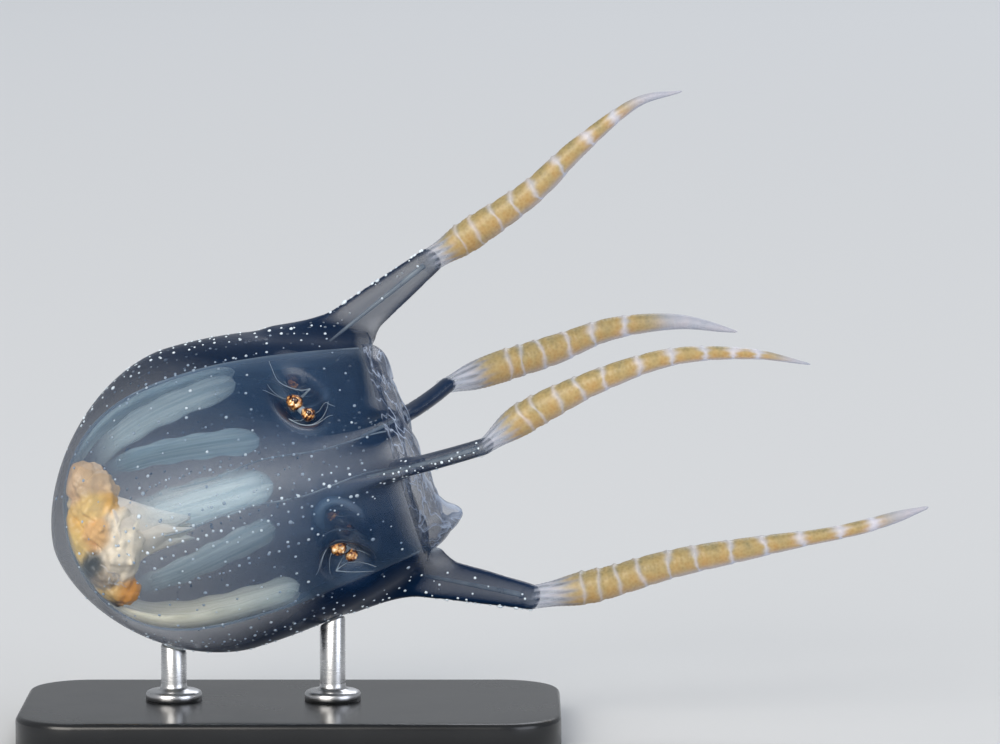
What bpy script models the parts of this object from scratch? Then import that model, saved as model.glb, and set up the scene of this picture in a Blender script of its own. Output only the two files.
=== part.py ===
"""A box jellyfish at life size, swimming with its bell tipped and its tentacles trailing, on a display stand.

The animal is laid out in bell coordinates, in millimetres: x runs down the bell's axis from the apex to
the open margin, z is up across the axis, and -y faces the front. A turn is an angle round the axis, from z
towards the front. One empty carries the animal, tipped and lifted, and a second carries it and the stand.
"""

import math

import bpy
import numpy as np
from mathutils import Matrix, Vector
from mathutils.bvhtree import BVHTree

MM = 0.001
GAP = 0.12                          # left between pieces that touch

# How the animal hangs
BELL_RISE = math.radians(16.5)      # the axis climbs towards the open end
BELL_LEAN = math.radians(6.0)       # the top of the animal leans away from the front
CORNER_TURN = math.radians(9.0)     # the upper corner's turn from straight up
BELL_LIFT = 3.1                     # floor to the lowest point of the bell

# Bell: a deep cup, square with round corners, thick at the apex and thin at the margin
BELL_DEPTH = 14.0
BELL_WIDEST = 6.4                   # where the outer wall stops widening
CORNER_RADIUS = 6.13                # axis to corner, at the widest
MARGIN_RADIUS = 4.7
BOW = 0.2                           # the axis bows up by this much half way down
HOLLOW_START = 0.6
HOLLOW_WIDEST = 7.4
HOLLOW_RADIUS = 5.0
HOLLOW_MARGIN_RADIUS = 4.12
SQUARENESS = 1.7                    # how far the section's exponent rises above a circle's 2
SQUARE_REACH = 17.0                 # depth at which it would be round again, past the margin
SQUARE_ONSET = 0.7                  # below 1, it turns square soon after the apex
OUTER_DOME = (1.8, 0.6)             # exponents of the dome: how flat its sides, how round its top
OUTER_DRAW = 2.0                    # exponent of the drawing in to the margin
HOLLOW_DOME = (3.0, 0.5)
HOLLOW_DRAW = 1.5
LIP_EASE = 0.1                      # the margin's lip is rounded over this length

# Niches: one slanting pit in the middle of each face, for a rhopalium
NICHE_DEPTH_AT = 10.9
NICHE_HALF_LENGTH = 1.08
NICHE_HALF_WIDTH = 0.78
NICHE_FLOOR = 3.68
NICHE_WALL = 0.5
NICHE_REACH = 1.3                   # up and down the wall from its middle, to where the wall is plain
NICHE_SLANT = math.radians(62)      # its long way, turned from the bell's axis towards the floor side

# Velarium: a skirt inside the margin
VELARIUM_LENGTH = 1.05
VELARIUM_DRAW_IN = 0.75
VELARIUM_CURL = 1.5                 # exponent of the drawing in
VELARIUM_THICK = 0.75               # measured across the axis; the slope thins it to about 0.5

# Stomach, manubrium and gonads
STOMACH_START = 0.85
STOMACH_END = 3.6
STOMACH_RADIUS = 2.6
STOMACH_LOBES = 0.12
STOMACH_CROWN = 0.75                # below 1, it is widest above its middle
STOMACH_FULLNESS = 0.55             # below 1, its sides are fuller than a sine's
STOMACH_CLEAR = 0.26                # from the hollow's roof
MANUBRIUM_START = STOMACH_END + GAP
MANUBRIUM_LENGTH = 1.55
MANUBRIUM_DROOP = 1.0
MANUBRIUM_RADIUS = 0.5
MANUBRIUM_FLARE = 0.42
MANUBRIUM_LIPS = 0.22               # how far the four lips stand out, as a share of its radius
MANUBRIUM_CURVE = 1.5               # exponent of the flare and the droop
GONAD_START = 2.0
GONAD_END = 8.6
GONAD_WIDTH = 1.35
GONAD_THICK = 0.55
GONAD_ROOT_WIDTH = 0.35             # at the start, as shares of the full width and thickness
GONAD_ROOT_THICK = 0.55
GONAD_FULL_AT = 0.75                # share of the length where it is fullest
GONAD_ROUND_FROM = 0.8              # share of the length where the round end begins
GONAD_ROUND_REACH = 0.224
# Degrees from the corner at the start and the end: alike on one side of every corner, wider on the other
GONAD_SPREADS = {-1: dict.fromkeys(("upper", "near", "lower", "far"), (14, 11)),
                 1: {"upper": (30, 15), "near": (38, 14), "lower": (14, 11), "far": (38, 14)}}
GONAD_CLOSING = 0.7                 # below 1, the pair draws together soon after the start

# Rhopalia
RHOPALIUM_RADIUS = 4.08             # axis to its middle
RHOPALIUM_LENGTH = 1.35
RHOPALIUM_WIDTH = 0.6
RHOPALIUM_SWELL = 0.12              # how much fatter the lower end is

# Pedalia: flat blades that carry the tentacles
BLADE_ROOT = (11.4, 4.2)            # along the axis, out from it
BLADE_KNEE = (14.3, 5.5)
BLADE_ROOT_HALF_WIDTH = 0.95
BLADE_END_HALF_WIDTH = 0.52
BLADE_NARROWING = 1.3               # exponent of the narrowing
BLADE_HALF_THICK = 0.31

# Tentacles
TENTACLE_ROOT_RADIUS = 0.46
TENTACLE_RADIUS = 0.65
TENTACLE_TIP_RADIUS = 0.25
TENTACLE_PEAK = 0.16                # where it is thickest, as a share of its length
TENTACLE_TAPER = {"upper": 0.70, "near": 0.76, "lower": 0.62, "far": 0.62}
TIP_EASE = 0.1                      # the tip's rounding, along and in from its side
TENTACLE_CUTS = (0.0, 0.3, 0.63, 1.0)
LENGTH_NAMES = ("root", "middle", "tip")

# The four arms in turn order, each with its tentacle's route in bell coordinates
ARMS = {
    "upper": ((17.26, -1.10, 6.64), (19.15, -1.30, 7.19), (21.73, -1.60, 8.04),
              (23.94, -1.80, 9.17), (26.52, -2.00, 10.17), (28.4, -2.10, 10.10)),
    "near": ((17.25, -6.75, -0.80), (19.0, -7.20, -0.18), (22.0, -7.50, 0.35),
             (25.0, -7.40, 0.42), (27.8, -7.10, -0.30), (29.9, -6.70, -1.33)),
    "lower": ((17.3, 1.10, -7.09), (20.0, 1.30, -7.37), (23.0, 1.45, -7.41),
              (26.5, 1.60, -7.74), (30.0, 1.70, -8.12), (33.2, 1.75, -8.14)),
    "far": ((16.4, 6.60, 1.81), (18.6, 7.10, 1.91), (21.0, 7.45, 1.96),
            (23.4, 7.60, 2.11), (26.0, 7.55, 1.63), (28.2, 7.30, 0.56)),
}

# Stand
BASE_LENGTH = 21.0
BASE_WIDTH = 11.0
BASE_THICK = 1.2
BASE_CORNER = 2.4
BASE_BEVEL = 0.22
BASE_FROM_APEX = 9.2                # apex to the middle of the base, on the floor plan
ROD_FROM_APEX = {"stand_rod_rear": 4.6, "stand_rod_front": 10.8}
ROD_SIDE = 0.3
ROD_RADIUS = 0.5
COLLAR_RADIUS = 1.1
COLLAR_HEIGHT = 0.4
COLLAR_EASE = 0.15                  # its top edge is bevelled by this much

# How finely each shape is divided
BELL_FACE_STEPS = 12                # round each quarter of the bell
FACE_CROWDING = 0.055               # how much closer together they stand at the niches
ROUND_STEPS = 10                    # round a tentacle


def material(name, color, roughness, metallic=0.0, alpha=1.0):
    """A Principled material of one colour."""
    made = bpy.data.materials.new(name)
    made.use_nodes = True
    shader = made.node_tree.nodes["Principled BSDF"]
    shader.inputs["Base Color"].default_value = (*color, 1.0)
    shader.inputs["Roughness"].default_value = roughness
    shader.inputs["Metallic"].default_value = metallic
    shader.inputs["Alpha"].default_value = alpha
    made.diffuse_color = (*color, alpha)
    return made


def add_piece(name, points, faces, finish, parent):
    """A mesh object with its origin in the middle of its own points, which are in mm in the parent's axes."""
    points = np.asarray(points, dtype=float) * MM
    middle = (points.min(axis=0) + points.max(axis=0)) / 2
    mesh = bpy.data.meshes.new(name)
    mesh.from_pydata((points - middle).tolist(), [], faces)
    mesh.validate()
    mesh.shade_smooth()
    mesh.set_sharp_from_angle(angle=math.radians(50))
    mesh.materials.append(finish)
    piece = bpy.data.objects.new(name, mesh)
    piece.location = middle
    piece.parent = parent
    bpy.context.collection.objects.link(piece)
    return piece


def closed_skin(rings):
    """Points and faces of the closed surface through rings, each of them points round a section.

    Each end is closed by a fan to the middle of its ring, and the faces are turned to point outwards.
    """
    rings = np.asarray(rings)
    count, around = rings.shape[:2]
    ends = np.stack([rings[0].mean(axis=0), rings[-1].mean(axis=0)])
    points = np.concatenate([rings.reshape(-1, 3), ends])
    first, last = count * around, count * around + 1
    faces = []
    for ring in range(count - 1):
        for side in range(around):
            a = ring * around + side
            b = ring * around + (side + 1) % around
            faces.append((a, b, b + around, a + around))
    for side in range(around):
        following = (side + 1) % around
        faces.append((first, following, side))
        faces.append((last, first - around + side, first - around + following))
    if enclosed_volume(points, faces) < 0:
        faces = [face[::-1] for face in faces]
    return points, faces


def enclosed_volume(points, faces):
    """Signed volume within the faces, from the cones they make with the first point."""
    from_first = points - points[0]
    total = 0.0
    for face in faces:
        for second, third in zip(face[1:-1], face[2:]):
            total += np.dot(from_first[face[0]], np.cross(from_first[second], from_first[third]))
    return total / 6


def along_curve(route, shares):
    """Points on the smooth curve through the route, at shares of its length, with directions and the length.

    The curve is a Catmull-Rom spline. It is sampled finely, then read by its length.
    """
    route = np.asarray(route, dtype=float)
    padded = np.vstack([2 * route[0] - route[1], route, 2 * route[-1] - route[-2]])
    fine = []
    for start in range(len(route) - 1):
        p0, p1, p2, p3 = padded[start:start + 4]
        for s in np.linspace(0, 1, 40, endpoint=False):
            fine.append(0.5 * (2 * p1 + (p2 - p0) * s + (2 * p0 - 5 * p1 + 4 * p2 - p3) * s**2
                               + (3 * p1 - p0 - 3 * p2 + p3) * s**3))
    fine = np.array(fine + [route[-1]])
    lengths = np.concatenate([[0], np.cumsum(np.linalg.norm(np.diff(fine, axis=0), axis=1))])
    wanted = np.asarray(shares) * lengths[-1]
    points = np.stack([np.interp(wanted, lengths, fine[:, axis]) for axis in range(3)], axis=1)
    slopes = np.gradient(fine, lengths, axis=0)
    directions = np.stack([np.interp(wanted, lengths, slopes[:, axis]) for axis in range(3)], axis=1)
    return points, directions / np.linalg.norm(directions, axis=1, keepdims=True), lengths[-1]


def bow(depth):
    """How far the axis stands above a straight line there."""
    return BOW * np.sin(np.pi * np.clip(depth / BELL_DEPTH, 0, 1))


def at_turn(depth, radius, turn):
    """The point that far down the axis and out from it, at that turn."""
    depth, radius, turn = np.broadcast_arrays(depth, radius, turn)
    return np.stack([depth, -radius * np.sin(turn), radius * np.cos(turn) + bow(depth)], axis=-1)


def section_share(depth, turn):
    """Radius at a turn as a share of the corner's: a superellipse, round at the apex and squarer below."""
    power = 2 + SQUARENESS * np.sin(np.pi * np.asarray(depth) / SQUARE_REACH) ** SQUARE_ONSET
    from_face = turn - CORNER_TURN - np.pi / 4
    spread = np.abs(np.cos(from_face)) ** power + np.abs(np.sin(from_face)) ** power
    return (2 ** (1 / power - 0.5)) * spread ** (-1 / power)


def wall_radius(depth, start, widest, radius, margin_radius, dome, draw):
    """Axis to corner of one side of the wall: a dome down to the widest, then drawn in to the margin."""
    flat, round_top = dome
    above = np.clip(1 - (depth - start) / (widest - start), 0, 1)
    below = np.clip((depth - widest) / (BELL_DEPTH - widest), 0, 1)
    return radius * (1 - above**flat) ** round_top - (radius - margin_radius) * below**draw


def niche_share(depth, turn):
    """1 at the middle of a niche, falling to 0 round it."""
    from_face = (turn - CORNER_TURN) % (np.pi / 2) - np.pi / 4
    downward = from_face * RHOPALIUM_RADIUS * np.sign(np.sin(turn))
    deeper = depth - NICHE_DEPTH_AT
    lengthways = deeper * math.cos(NICHE_SLANT) + downward * math.sin(NICHE_SLANT)
    widthways = downward * math.cos(NICHE_SLANT) - deeper * math.sin(NICHE_SLANT)
    distance = (lengthways / NICHE_HALF_LENGTH) ** 2 + (widthways / NICHE_HALF_WIDTH) ** 2
    return np.exp(-distance**2)


def outer_radius(depth, turn):
    """The bell's outside, with its niches."""
    plain = section_share(depth, turn) * wall_radius(
        depth, 0, BELL_WIDEST, CORNER_RADIUS, MARGIN_RADIUS, OUTER_DOME, OUTER_DRAW)
    return plain - np.maximum(plain - NICHE_FLOOR, 0) * niche_share(depth, turn)


def inner_radius(depth, turn):
    """The bell's inside, which swells inwards behind each niche."""
    plain = section_share(depth, turn) * wall_radius(
        depth, HOLLOW_START, HOLLOW_WIDEST, HOLLOW_RADIUS, HOLLOW_MARGIN_RADIUS, HOLLOW_DOME, HOLLOW_DRAW)
    floor = NICHE_FLOOR - NICHE_WALL
    return plain - np.maximum(plain - floor, 0) * niche_share(depth, turn)


def make_bell(finish, parent):
    """The cup: rings down the outside, over the margin and back up the inside.

    The rings and the points round them stand closer together at the niches.
    """
    quarter = np.linspace(0, 1, BELL_FACE_STEPS, endpoint=False)
    quarter = quarter + FACE_CROWDING * np.sin(4 * np.pi * quarter)
    turns = CORNER_TURN + (np.arange(4)[:, None] + quarter).ravel() * np.pi / 2
    niche_top, niche_bottom = NICHE_DEPTH_AT - NICHE_REACH, NICHE_DEPTH_AT + NICHE_REACH
    at_niche = np.linspace(niche_top, niche_bottom, 7)
    to_lip = np.linspace(niche_bottom, BELL_DEPTH - LIP_EASE, 4)[1:]
    dome = BELL_WIDEST * (1 - np.cos(np.linspace(0.12, 1, 9) * np.pi / 2))
    to_niche = np.linspace(BELL_WIDEST, niche_top, 4)[1:-1]
    outside = [at_turn(depth, outer_radius(depth, turns), turns)
               for depth in np.concatenate([dome, to_niche, at_niche, to_lip])]
    down_roof = 1 - np.cos(np.linspace(0.14, 1, 7) * np.pi / 2)
    roof = HOLLOW_START + (HOLLOW_WIDEST - HOLLOW_START) * down_roof
    from_roof = np.linspace(HOLLOW_WIDEST, niche_top, 4)[1:-1]
    inside = [at_turn(depth, inner_radius(depth, turns), turns)
              for depth in np.concatenate([roof, from_roof, at_niche, to_lip])[::-1]]
    lip_radius = (outer_radius(BELL_DEPTH, turns) + inner_radius(BELL_DEPTH, turns)) / 2
    lip = [at_turn(BELL_DEPTH, lip_radius, turns)]
    points, faces = closed_skin(outside + lip + inside)
    points[-2] = (0, 0, 0)
    points[-1] = (HOLLOW_START, 0, 0)
    return add_piece("bell", points, faces, finish, parent)


def make_velarium(finish, parent):
    """A skirt that hangs from inside the margin and draws the opening in."""
    turns = CORNER_TURN + np.linspace(0, 2 * np.pi, 32, endpoint=False)
    root = inner_radius(BELL_DEPTH, turns)
    outer_edges = [(share, 0) for share in (0, 0.5, 1)]
    inner_edges = [(share, VELARIUM_THICK) for share in (1, 0.5, 0)]
    edges = []
    for share, inward in outer_edges + inner_edges:
        radius = root - VELARIUM_DRAW_IN * share**VELARIUM_CURL - inward
        edges.append(at_turn(BELL_DEPTH + GAP + VELARIUM_LENGTH * share, radius, turns))
    rings = np.stack(edges)
    count, around = rings.shape[:2]
    faces = []
    for ring in range(count):
        for side in range(around):
            here, there = ring * around, (ring + 1) % count * around
            faces.append((here + side, here + (side + 1) % around, there + (side + 1) % around, there + side))
    points = rings.reshape(-1, 3)
    if enclosed_volume(points, faces) < 0:
        faces = [face[::-1] for face in faces]
    return add_piece("velarium", points, faces, finish, parent)


def make_stomach(finish, parent):
    """A cushion under the apex, a little proud at each corner, following the hollow's roof."""
    turns = CORNER_TURN + np.linspace(0, 2 * np.pi, 24, endpoint=False)
    lobes = 1 + STOMACH_LOBES * np.cos(4 * (turns - CORNER_TURN))
    rings = []
    for share in np.linspace(0.06, 0.94, 9):
        depth = STOMACH_START + (STOMACH_END - STOMACH_START) * share
        swell = STOMACH_RADIUS * lobes * math.sin(math.pi * share**STOMACH_CROWN) ** STOMACH_FULLNESS
        roof = inner_radius(depth, turns) - STOMACH_CLEAR
        rings.append(at_turn(depth, np.minimum(swell, roof), turns))
    return add_piece("stomach", *closed_skin(rings), finish, parent)


def make_manubrium(finish, parent):
    """The mouth tube: four-lipped, hanging from the stomach's floor and drooping."""
    turns = CORNER_TURN + np.linspace(0, 2 * np.pi, 16, endpoint=False)
    rings = []
    for share in np.linspace(0, 1, 8):
        flare = MANUBRIUM_RADIUS + MANUBRIUM_FLARE * share**MANUBRIUM_CURVE
        radius = flare * (1 + MANUBRIUM_LIPS * share * np.cos(4 * (turns - CORNER_TURN)))
        ring = at_turn(MANUBRIUM_START + MANUBRIUM_LENGTH * share, radius, turns)
        ring[:, 2] -= MANUBRIUM_DROOP * share**MANUBRIUM_CURVE
        rings.append(ring)
    return add_piece("manubrium", *closed_skin(rings), finish, parent)


def make_gonad(name, arm, corner, side, finish, parent):
    """One leaf against the hollow's wall, beside a corner: narrow where it starts, round where it ends."""
    root_spread, end_spread = np.radians(GONAD_SPREADS[side][arm])
    around = np.linspace(0, 2 * np.pi, 8, endpoint=False)
    rings = []
    for share in np.linspace(0.02, 0.98, 10):
        depth = GONAD_START + (GONAD_END - GONAD_START) * share
        spread = root_spread + (end_spread - root_spread) * share**GONAD_CLOSING
        turn = CORNER_TURN + corner * np.pi / 2 + side * spread
        rise = math.sqrt(1 - (1 - min(share / GONAD_FULL_AT, 1)) ** 2)
        ending = math.sqrt(1 - (max(share - GONAD_ROUND_FROM, 0) / GONAD_ROUND_REACH) ** 2)
        half_width = GONAD_WIDTH / 2 * (GONAD_ROOT_WIDTH + (1 - GONAD_ROOT_WIDTH) * rise) * ending
        half_thick = GONAD_THICK / 2 * (GONAD_ROOT_THICK + (1 - GONAD_ROOT_THICK) * rise * ending)
        across = half_width * np.cos(around)
        radius = inner_radius(depth, turn) - GAP - GONAD_THICK / 2
        turns = turn + across / radius
        wall = inner_radius(depth, turns) - GAP - GONAD_THICK / 2
        rings.append(at_turn(depth, wall + half_thick * np.sin(around), turns))
    return add_piece(name, *closed_skin(rings), finish, parent)


def make_rhopalium(name, face, finish, parent):
    """A club on its side in the niche, fatter at the lower end, standing clear of the niche's floor."""
    turn = CORNER_TURN + (face + 0.5) * np.pi / 2
    out = at_turn(0, 1, turn)
    sideways = np.cross(out, (1, 0, 0))
    if sideways[2] > 0:
        sideways = -sideways
    lengthways = math.cos(NICHE_SLANT) * np.array([1.0, 0, 0]) + math.sin(NICHE_SLANT) * sideways
    breadthways = np.cross(out, lengthways)
    around = np.linspace(0, 2 * np.pi, 8, endpoint=False)[:, None]
    middle = at_turn(NICHE_DEPTH_AT, RHOPALIUM_RADIUS, turn)
    rings = []
    for share in np.linspace(-0.94, 0.94, 7):
        swell = RHOPALIUM_WIDTH / 2 * math.sqrt(1 - share**2) * (1 + RHOPALIUM_SWELL * share)
        ring = middle + lengthways * share * RHOPALIUM_LENGTH / 2
        rings.append(ring + swell * (np.cos(around) * breadthways + np.sin(around) * out))
    return add_piece(name, *closed_skin(rings), finish, parent)


def outside_bell(points):
    """How far each point stands out from the bell's outside, along its own radius."""
    depth = points[..., 0]
    above = points[..., 2] - bow(depth)
    turn = np.arctan2(-points[..., 1], above)
    radius = np.hypot(points[..., 1], above)
    outer = outer_radius(np.clip(depth, 0.5, BELL_DEPTH), turn)
    past_margin = depth - BELL_DEPTH
    return np.where(past_margin > 0, np.maximum(past_margin, radius - outer), radius - outer)


def make_pedalium(name, corner, end, finish, parent):
    """A blade from the bell's corner to the tentacle: an oval section swept on a bent path.

    Each line along the blade starts where it comes out of the bell, so the root follows the bell's surface.
    """
    turn = CORNER_TURN + corner * np.pi / 2
    root = at_turn(*BLADE_ROOT, turn)
    knee = at_turn(*BLADE_KNEE, turn)
    end = np.asarray(end)
    shares = np.linspace(0, 1, 121)[:, None]
    middle = (1 - shares) ** 2 * root + 2 * shares * (1 - shares) * knee + shares**2 * end
    forward = 2 * (1 - shares) * (knee - root) + 2 * shares * (end - knee)
    forward /= np.linalg.norm(forward, axis=1, keepdims=True)
    out = at_turn(0, 1, turn)
    widthways = out - forward * (forward @ out)[:, None]
    widthways /= np.linalg.norm(widthways, axis=1, keepdims=True)
    sideways = np.cross(forward, widthways)
    narrowing = (BLADE_ROOT_HALF_WIDTH - BLADE_END_HALF_WIDTH) * shares**BLADE_NARROWING
    half_width = BLADE_ROOT_HALF_WIDTH - narrowing
    around = np.linspace(0, 2 * np.pi, 12, endpoint=False)
    lines = []
    for angle in around:
        line = (middle + half_width * math.cos(angle) * widthways
                + BLADE_HALF_THICK * math.sin(angle) * sideways)
        inside = np.nonzero(outside_bell(line) < GAP)[0]
        start = shares[inside[-1] + 1, 0] if len(inside) else 0.0
        wanted = start + (1 - start) * np.linspace(0, 1, 8)
        lines.append(np.stack([np.interp(wanted, shares[:, 0], line[:, axis]) for axis in range(3)], axis=1))
    rings = np.stack(lines, axis=1)
    return add_piece(name, *closed_skin(rings), finish, parent)


def make_tentacle(place, route, finish, parent):
    """A round, ringed, carrot-shaped arm in lengths that meet end to end, thickest near its root."""
    around = np.linspace(0, 2 * np.pi, ROUND_STEPS, endpoint=False)[:, None]
    total = along_curve(route, [0])[2]
    for name, low, high in zip(LENGTH_NAMES, TENTACLE_CUTS[:-1], TENTACLE_CUTS[1:]):
        shares = np.linspace(low + GAP / total, high, 7)
        if name == "tip":
            shares = np.append(shares[:-1], [1 - TIP_EASE / total, 1.0])
        middle, forward, _ = along_curve(route, shares)
        rise = np.clip(shares / TENTACLE_PEAK, 0, 1)
        fall = np.clip((shares - TENTACLE_PEAK) / (1 - TENTACLE_PEAK), 0, 1)
        growth = TENTACLE_ROOT_RADIUS + (TENTACLE_RADIUS - TENTACLE_ROOT_RADIUS) * np.sin(rise * np.pi / 2)
        radius = np.maximum(growth * (1 - fall) ** TENTACLE_TAPER[place], TENTACLE_TIP_RADIUS)
        if name == "tip":
            radius[-1] = TENTACLE_TIP_RADIUS - TIP_EASE
        upward = np.array([0, 0, 1.0]) - forward * forward[:, 2:3]
        upward /= np.linalg.norm(upward, axis=1, keepdims=True)
        sideways = np.cross(forward, upward)
        rings = middle[:, None] + radius[:, None, None] * (
            np.cos(around) * upward[:, None] + np.sin(around) * sideways[:, None])
        add_piece(f"tentacle_{place}_{name}", *closed_skin(rings), finish, parent)


def make_base(middle_x, finish, parent):
    """A flat plate with round corners and an eased top edge."""
    corners = []
    for quarter in range(4):
        x_side, y_side = ((1, 1), (-1, 1), (-1, -1), (1, -1))[quarter]
        for angle in np.linspace(0, np.pi / 2, 6) + quarter * np.pi / 2:
            corners.append((x_side * (BASE_LENGTH / 2 - BASE_CORNER),
                            y_side * (BASE_WIDTH / 2 - BASE_CORNER),
                            math.cos(angle), math.sin(angle)))
    corners = np.array(corners)
    rings = []
    half_way = BASE_BEVEL * (1 - math.sqrt(0.5))        # the middle of the eased edge's arc
    for inset, height in ((0, 0), (0, BASE_THICK - BASE_BEVEL),
                          (half_way, BASE_THICK - half_way), (BASE_BEVEL, BASE_THICK)):
        plan = corners[:, :2] + (BASE_CORNER - inset) * corners[:, 2:]
        rings.append(np.column_stack([plan[:, 0] + middle_x, plan[:, 1], np.full(len(plan), height)]))
    return add_piece("stand_base", *closed_skin(rings), finish, parent)


def make_rod(name, x, y, bell_tree, finish, parent):
    """A rod with a collar at its foot, its top cut to the bell's underside."""
    angles = np.linspace(0, 2 * np.pi, 16, endpoint=False)
    foot = BASE_THICK + GAP
    collar_top = foot + COLLAR_HEIGHT
    rings = []
    for radius, height in ((COLLAR_RADIUS, foot), (COLLAR_RADIUS, collar_top - COLLAR_EASE),
                           (COLLAR_RADIUS - COLLAR_EASE, collar_top), (ROD_RADIUS, collar_top)):
        rings.append(np.column_stack([x + radius * np.cos(angles), y + radius * np.sin(angles),
                                      np.full(len(angles), height)]))
    top = rings[-1].copy()
    for point in top:
        struck = bell_tree.ray_cast(Vector((point[0], point[1], 0)) * MM, Vector((0, 0, 1)))[0]
        point[2] = struck.z / MM - GAP
    rings.append(top)
    return add_piece(name, *closed_skin(rings), finish, parent)


def world_points(piece):
    """The piece's points where it stands, in metres."""
    return np.array([piece.matrix_world @ vertex.co for vertex in piece.data.vertices])


for old in list(bpy.data.objects):
    bpy.data.objects.remove(old)

JELLY = material("clear_jelly", (0.30, 0.38, 0.46), 0.15, alpha=0.35)
VEIL = material("velarium_membrane", (0.50, 0.58, 0.66), 0.2, alpha=0.5)
LEAF = material("gonad_tissue", (0.47, 0.58, 0.64), 0.35)
GUT = material("stomach_tissue", (0.82, 0.58, 0.26), 0.45)
MOUTH = material("manubrium_tissue", (0.80, 0.76, 0.70), 0.4)
EYE = material("eye_pigment", (0.36, 0.14, 0.06), 0.2)
ARM = material("banded_tentacle", (0.66, 0.44, 0.16), 0.4)
PLATE = material("stand_plate", (0.05, 0.05, 0.055), 0.5)
STEEL = material("stand_steel", (0.60, 0.60, 0.62), 0.3, metallic=1.0)

model = bpy.data.objects.new("model", None)
swimmer = bpy.data.objects.new("swimmer", None)
for empty in (model, swimmer):
    bpy.context.collection.objects.link(empty)
swimmer.parent = model
swimmer.matrix_local = Matrix.Rotation(-BELL_LEAN, 4, "X") @ Matrix.Rotation(-BELL_RISE, 4, "Y")

bell = make_bell(JELLY, swimmer)
make_velarium(VEIL, swimmer)
make_stomach(GUT, swimmer)
make_manubrium(MOUTH, swimmer)
for corner, (place, route) in enumerate(ARMS.items()):
    for side, side_name in ((-1, "a"), (1, "b")):
        make_gonad(f"gonad_{place}_{side_name}", place, corner, side, LEAF, swimmer)
    make_pedalium(f"pedalium_{place}", corner, route[0], JELLY, swimmer)
    make_tentacle(place, route, ARM, swimmer)
    make_rhopalium(f"rhopalium_{place}", corner, EYE, swimmer)

# The animal is lifted to its height, and the stand is built up to meet it
bpy.context.view_layer.update()
swimmer.location.z = BELL_LIFT * MM - world_points(bell)[:, 2].min()
bpy.context.view_layer.update()
bell_faces = [tuple(face.vertices) for face in bell.data.polygons]
bell_tree = BVHTree.FromPolygons(world_points(bell).tolist(), bell_faces)
make_base(BASE_FROM_APEX, PLATE, model)
for name, x in ROD_FROM_APEX.items():
    make_rod(name, x, ROD_SIDE, bell_tree, STEEL, model)

# The model's origin goes to the middle of its plan, on the floor
bpy.context.view_layer.update()
everything = np.vstack([world_points(piece) for piece in bpy.data.objects if piece.type == "MESH"])
plan_middle = (everything.min(axis=0) + everything.max(axis=0)) / 2
model.location = (-plan_middle[0], -plan_middle[1], 0)
bpy.context.view_layer.update()
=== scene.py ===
import math

import bpy
import numpy as np
from mathutils import Matrix, Vector


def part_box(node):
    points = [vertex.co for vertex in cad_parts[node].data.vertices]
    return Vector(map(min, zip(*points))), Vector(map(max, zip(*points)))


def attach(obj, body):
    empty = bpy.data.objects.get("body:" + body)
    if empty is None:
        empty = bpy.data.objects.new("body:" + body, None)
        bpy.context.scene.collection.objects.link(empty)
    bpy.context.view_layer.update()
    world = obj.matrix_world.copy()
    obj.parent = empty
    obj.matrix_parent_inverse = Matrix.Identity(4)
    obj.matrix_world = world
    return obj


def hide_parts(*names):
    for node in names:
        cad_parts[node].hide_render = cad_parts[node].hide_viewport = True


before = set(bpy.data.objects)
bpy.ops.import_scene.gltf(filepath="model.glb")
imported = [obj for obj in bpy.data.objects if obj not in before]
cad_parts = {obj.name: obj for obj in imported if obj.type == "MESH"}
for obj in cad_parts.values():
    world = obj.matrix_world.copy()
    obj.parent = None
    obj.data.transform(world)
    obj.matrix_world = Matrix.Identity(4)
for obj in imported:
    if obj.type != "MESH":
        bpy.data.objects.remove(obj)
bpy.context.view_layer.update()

# ---------------------------------------------------------------- where the animal hangs, and the studio
# The medusa hangs tipped over its stand, the open end up and the top leaning away from the front.
# It stands on a plain pale table under soft boxes, with a long lens looking slightly down on it.

MM = 0.001
BELL_RISE = math.radians(16.5)
BELL_LEAN = math.radians(6.0)
VIEW_DROP = math.radians(6.0)           # the camera looks down by this much
BASE_FROM_APEX = 9.2                    # apex to the middle of the base, on the floor plan
APEX_HEIGHT = 7.15
LENS = 200.0
SENSOR = 36.0
VIEW_WIDTH = 38.91                      # what the frame takes in at the animal
VIEW_MIDDLE = (17.335, 6.926)           # the middle of the frame, across and up from the apex
FLOOR_REACH = 3                         # m from the middle to each side


def linear(code):
    """An sRGB hex colour as linear red, green, blue and an alpha of 1."""
    channels = np.array([int(code[i:i + 2], 16) for i in (0, 2, 4)]) / 255
    channels = np.where(channels <= 0.04045, channels / 12.92, ((channels + 0.055) / 1.055) ** 2.4)
    return (*channels.tolist(), 1.0)


def add(tree, kind, inputs=None, **settings):
    """Adds a node with its settings. An input is given a value, or a socket to be linked from."""
    made = tree.nodes.new(kind)
    for name, value in settings.items():
        setattr(made, name, value)
    for name, value in (inputs or {}).items():
        if isinstance(value, bpy.types.NodeSocket):
            tree.links.new(value, made.inputs[name])
        else:
            made.inputs[name].default_value = value
    return made


def new_material(name):
    """An empty node material and its tree."""
    made = bpy.data.materials.new(name)
    made.use_nodes = True
    made.node_tree.nodes.clear()
    return made, made.node_tree


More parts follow.
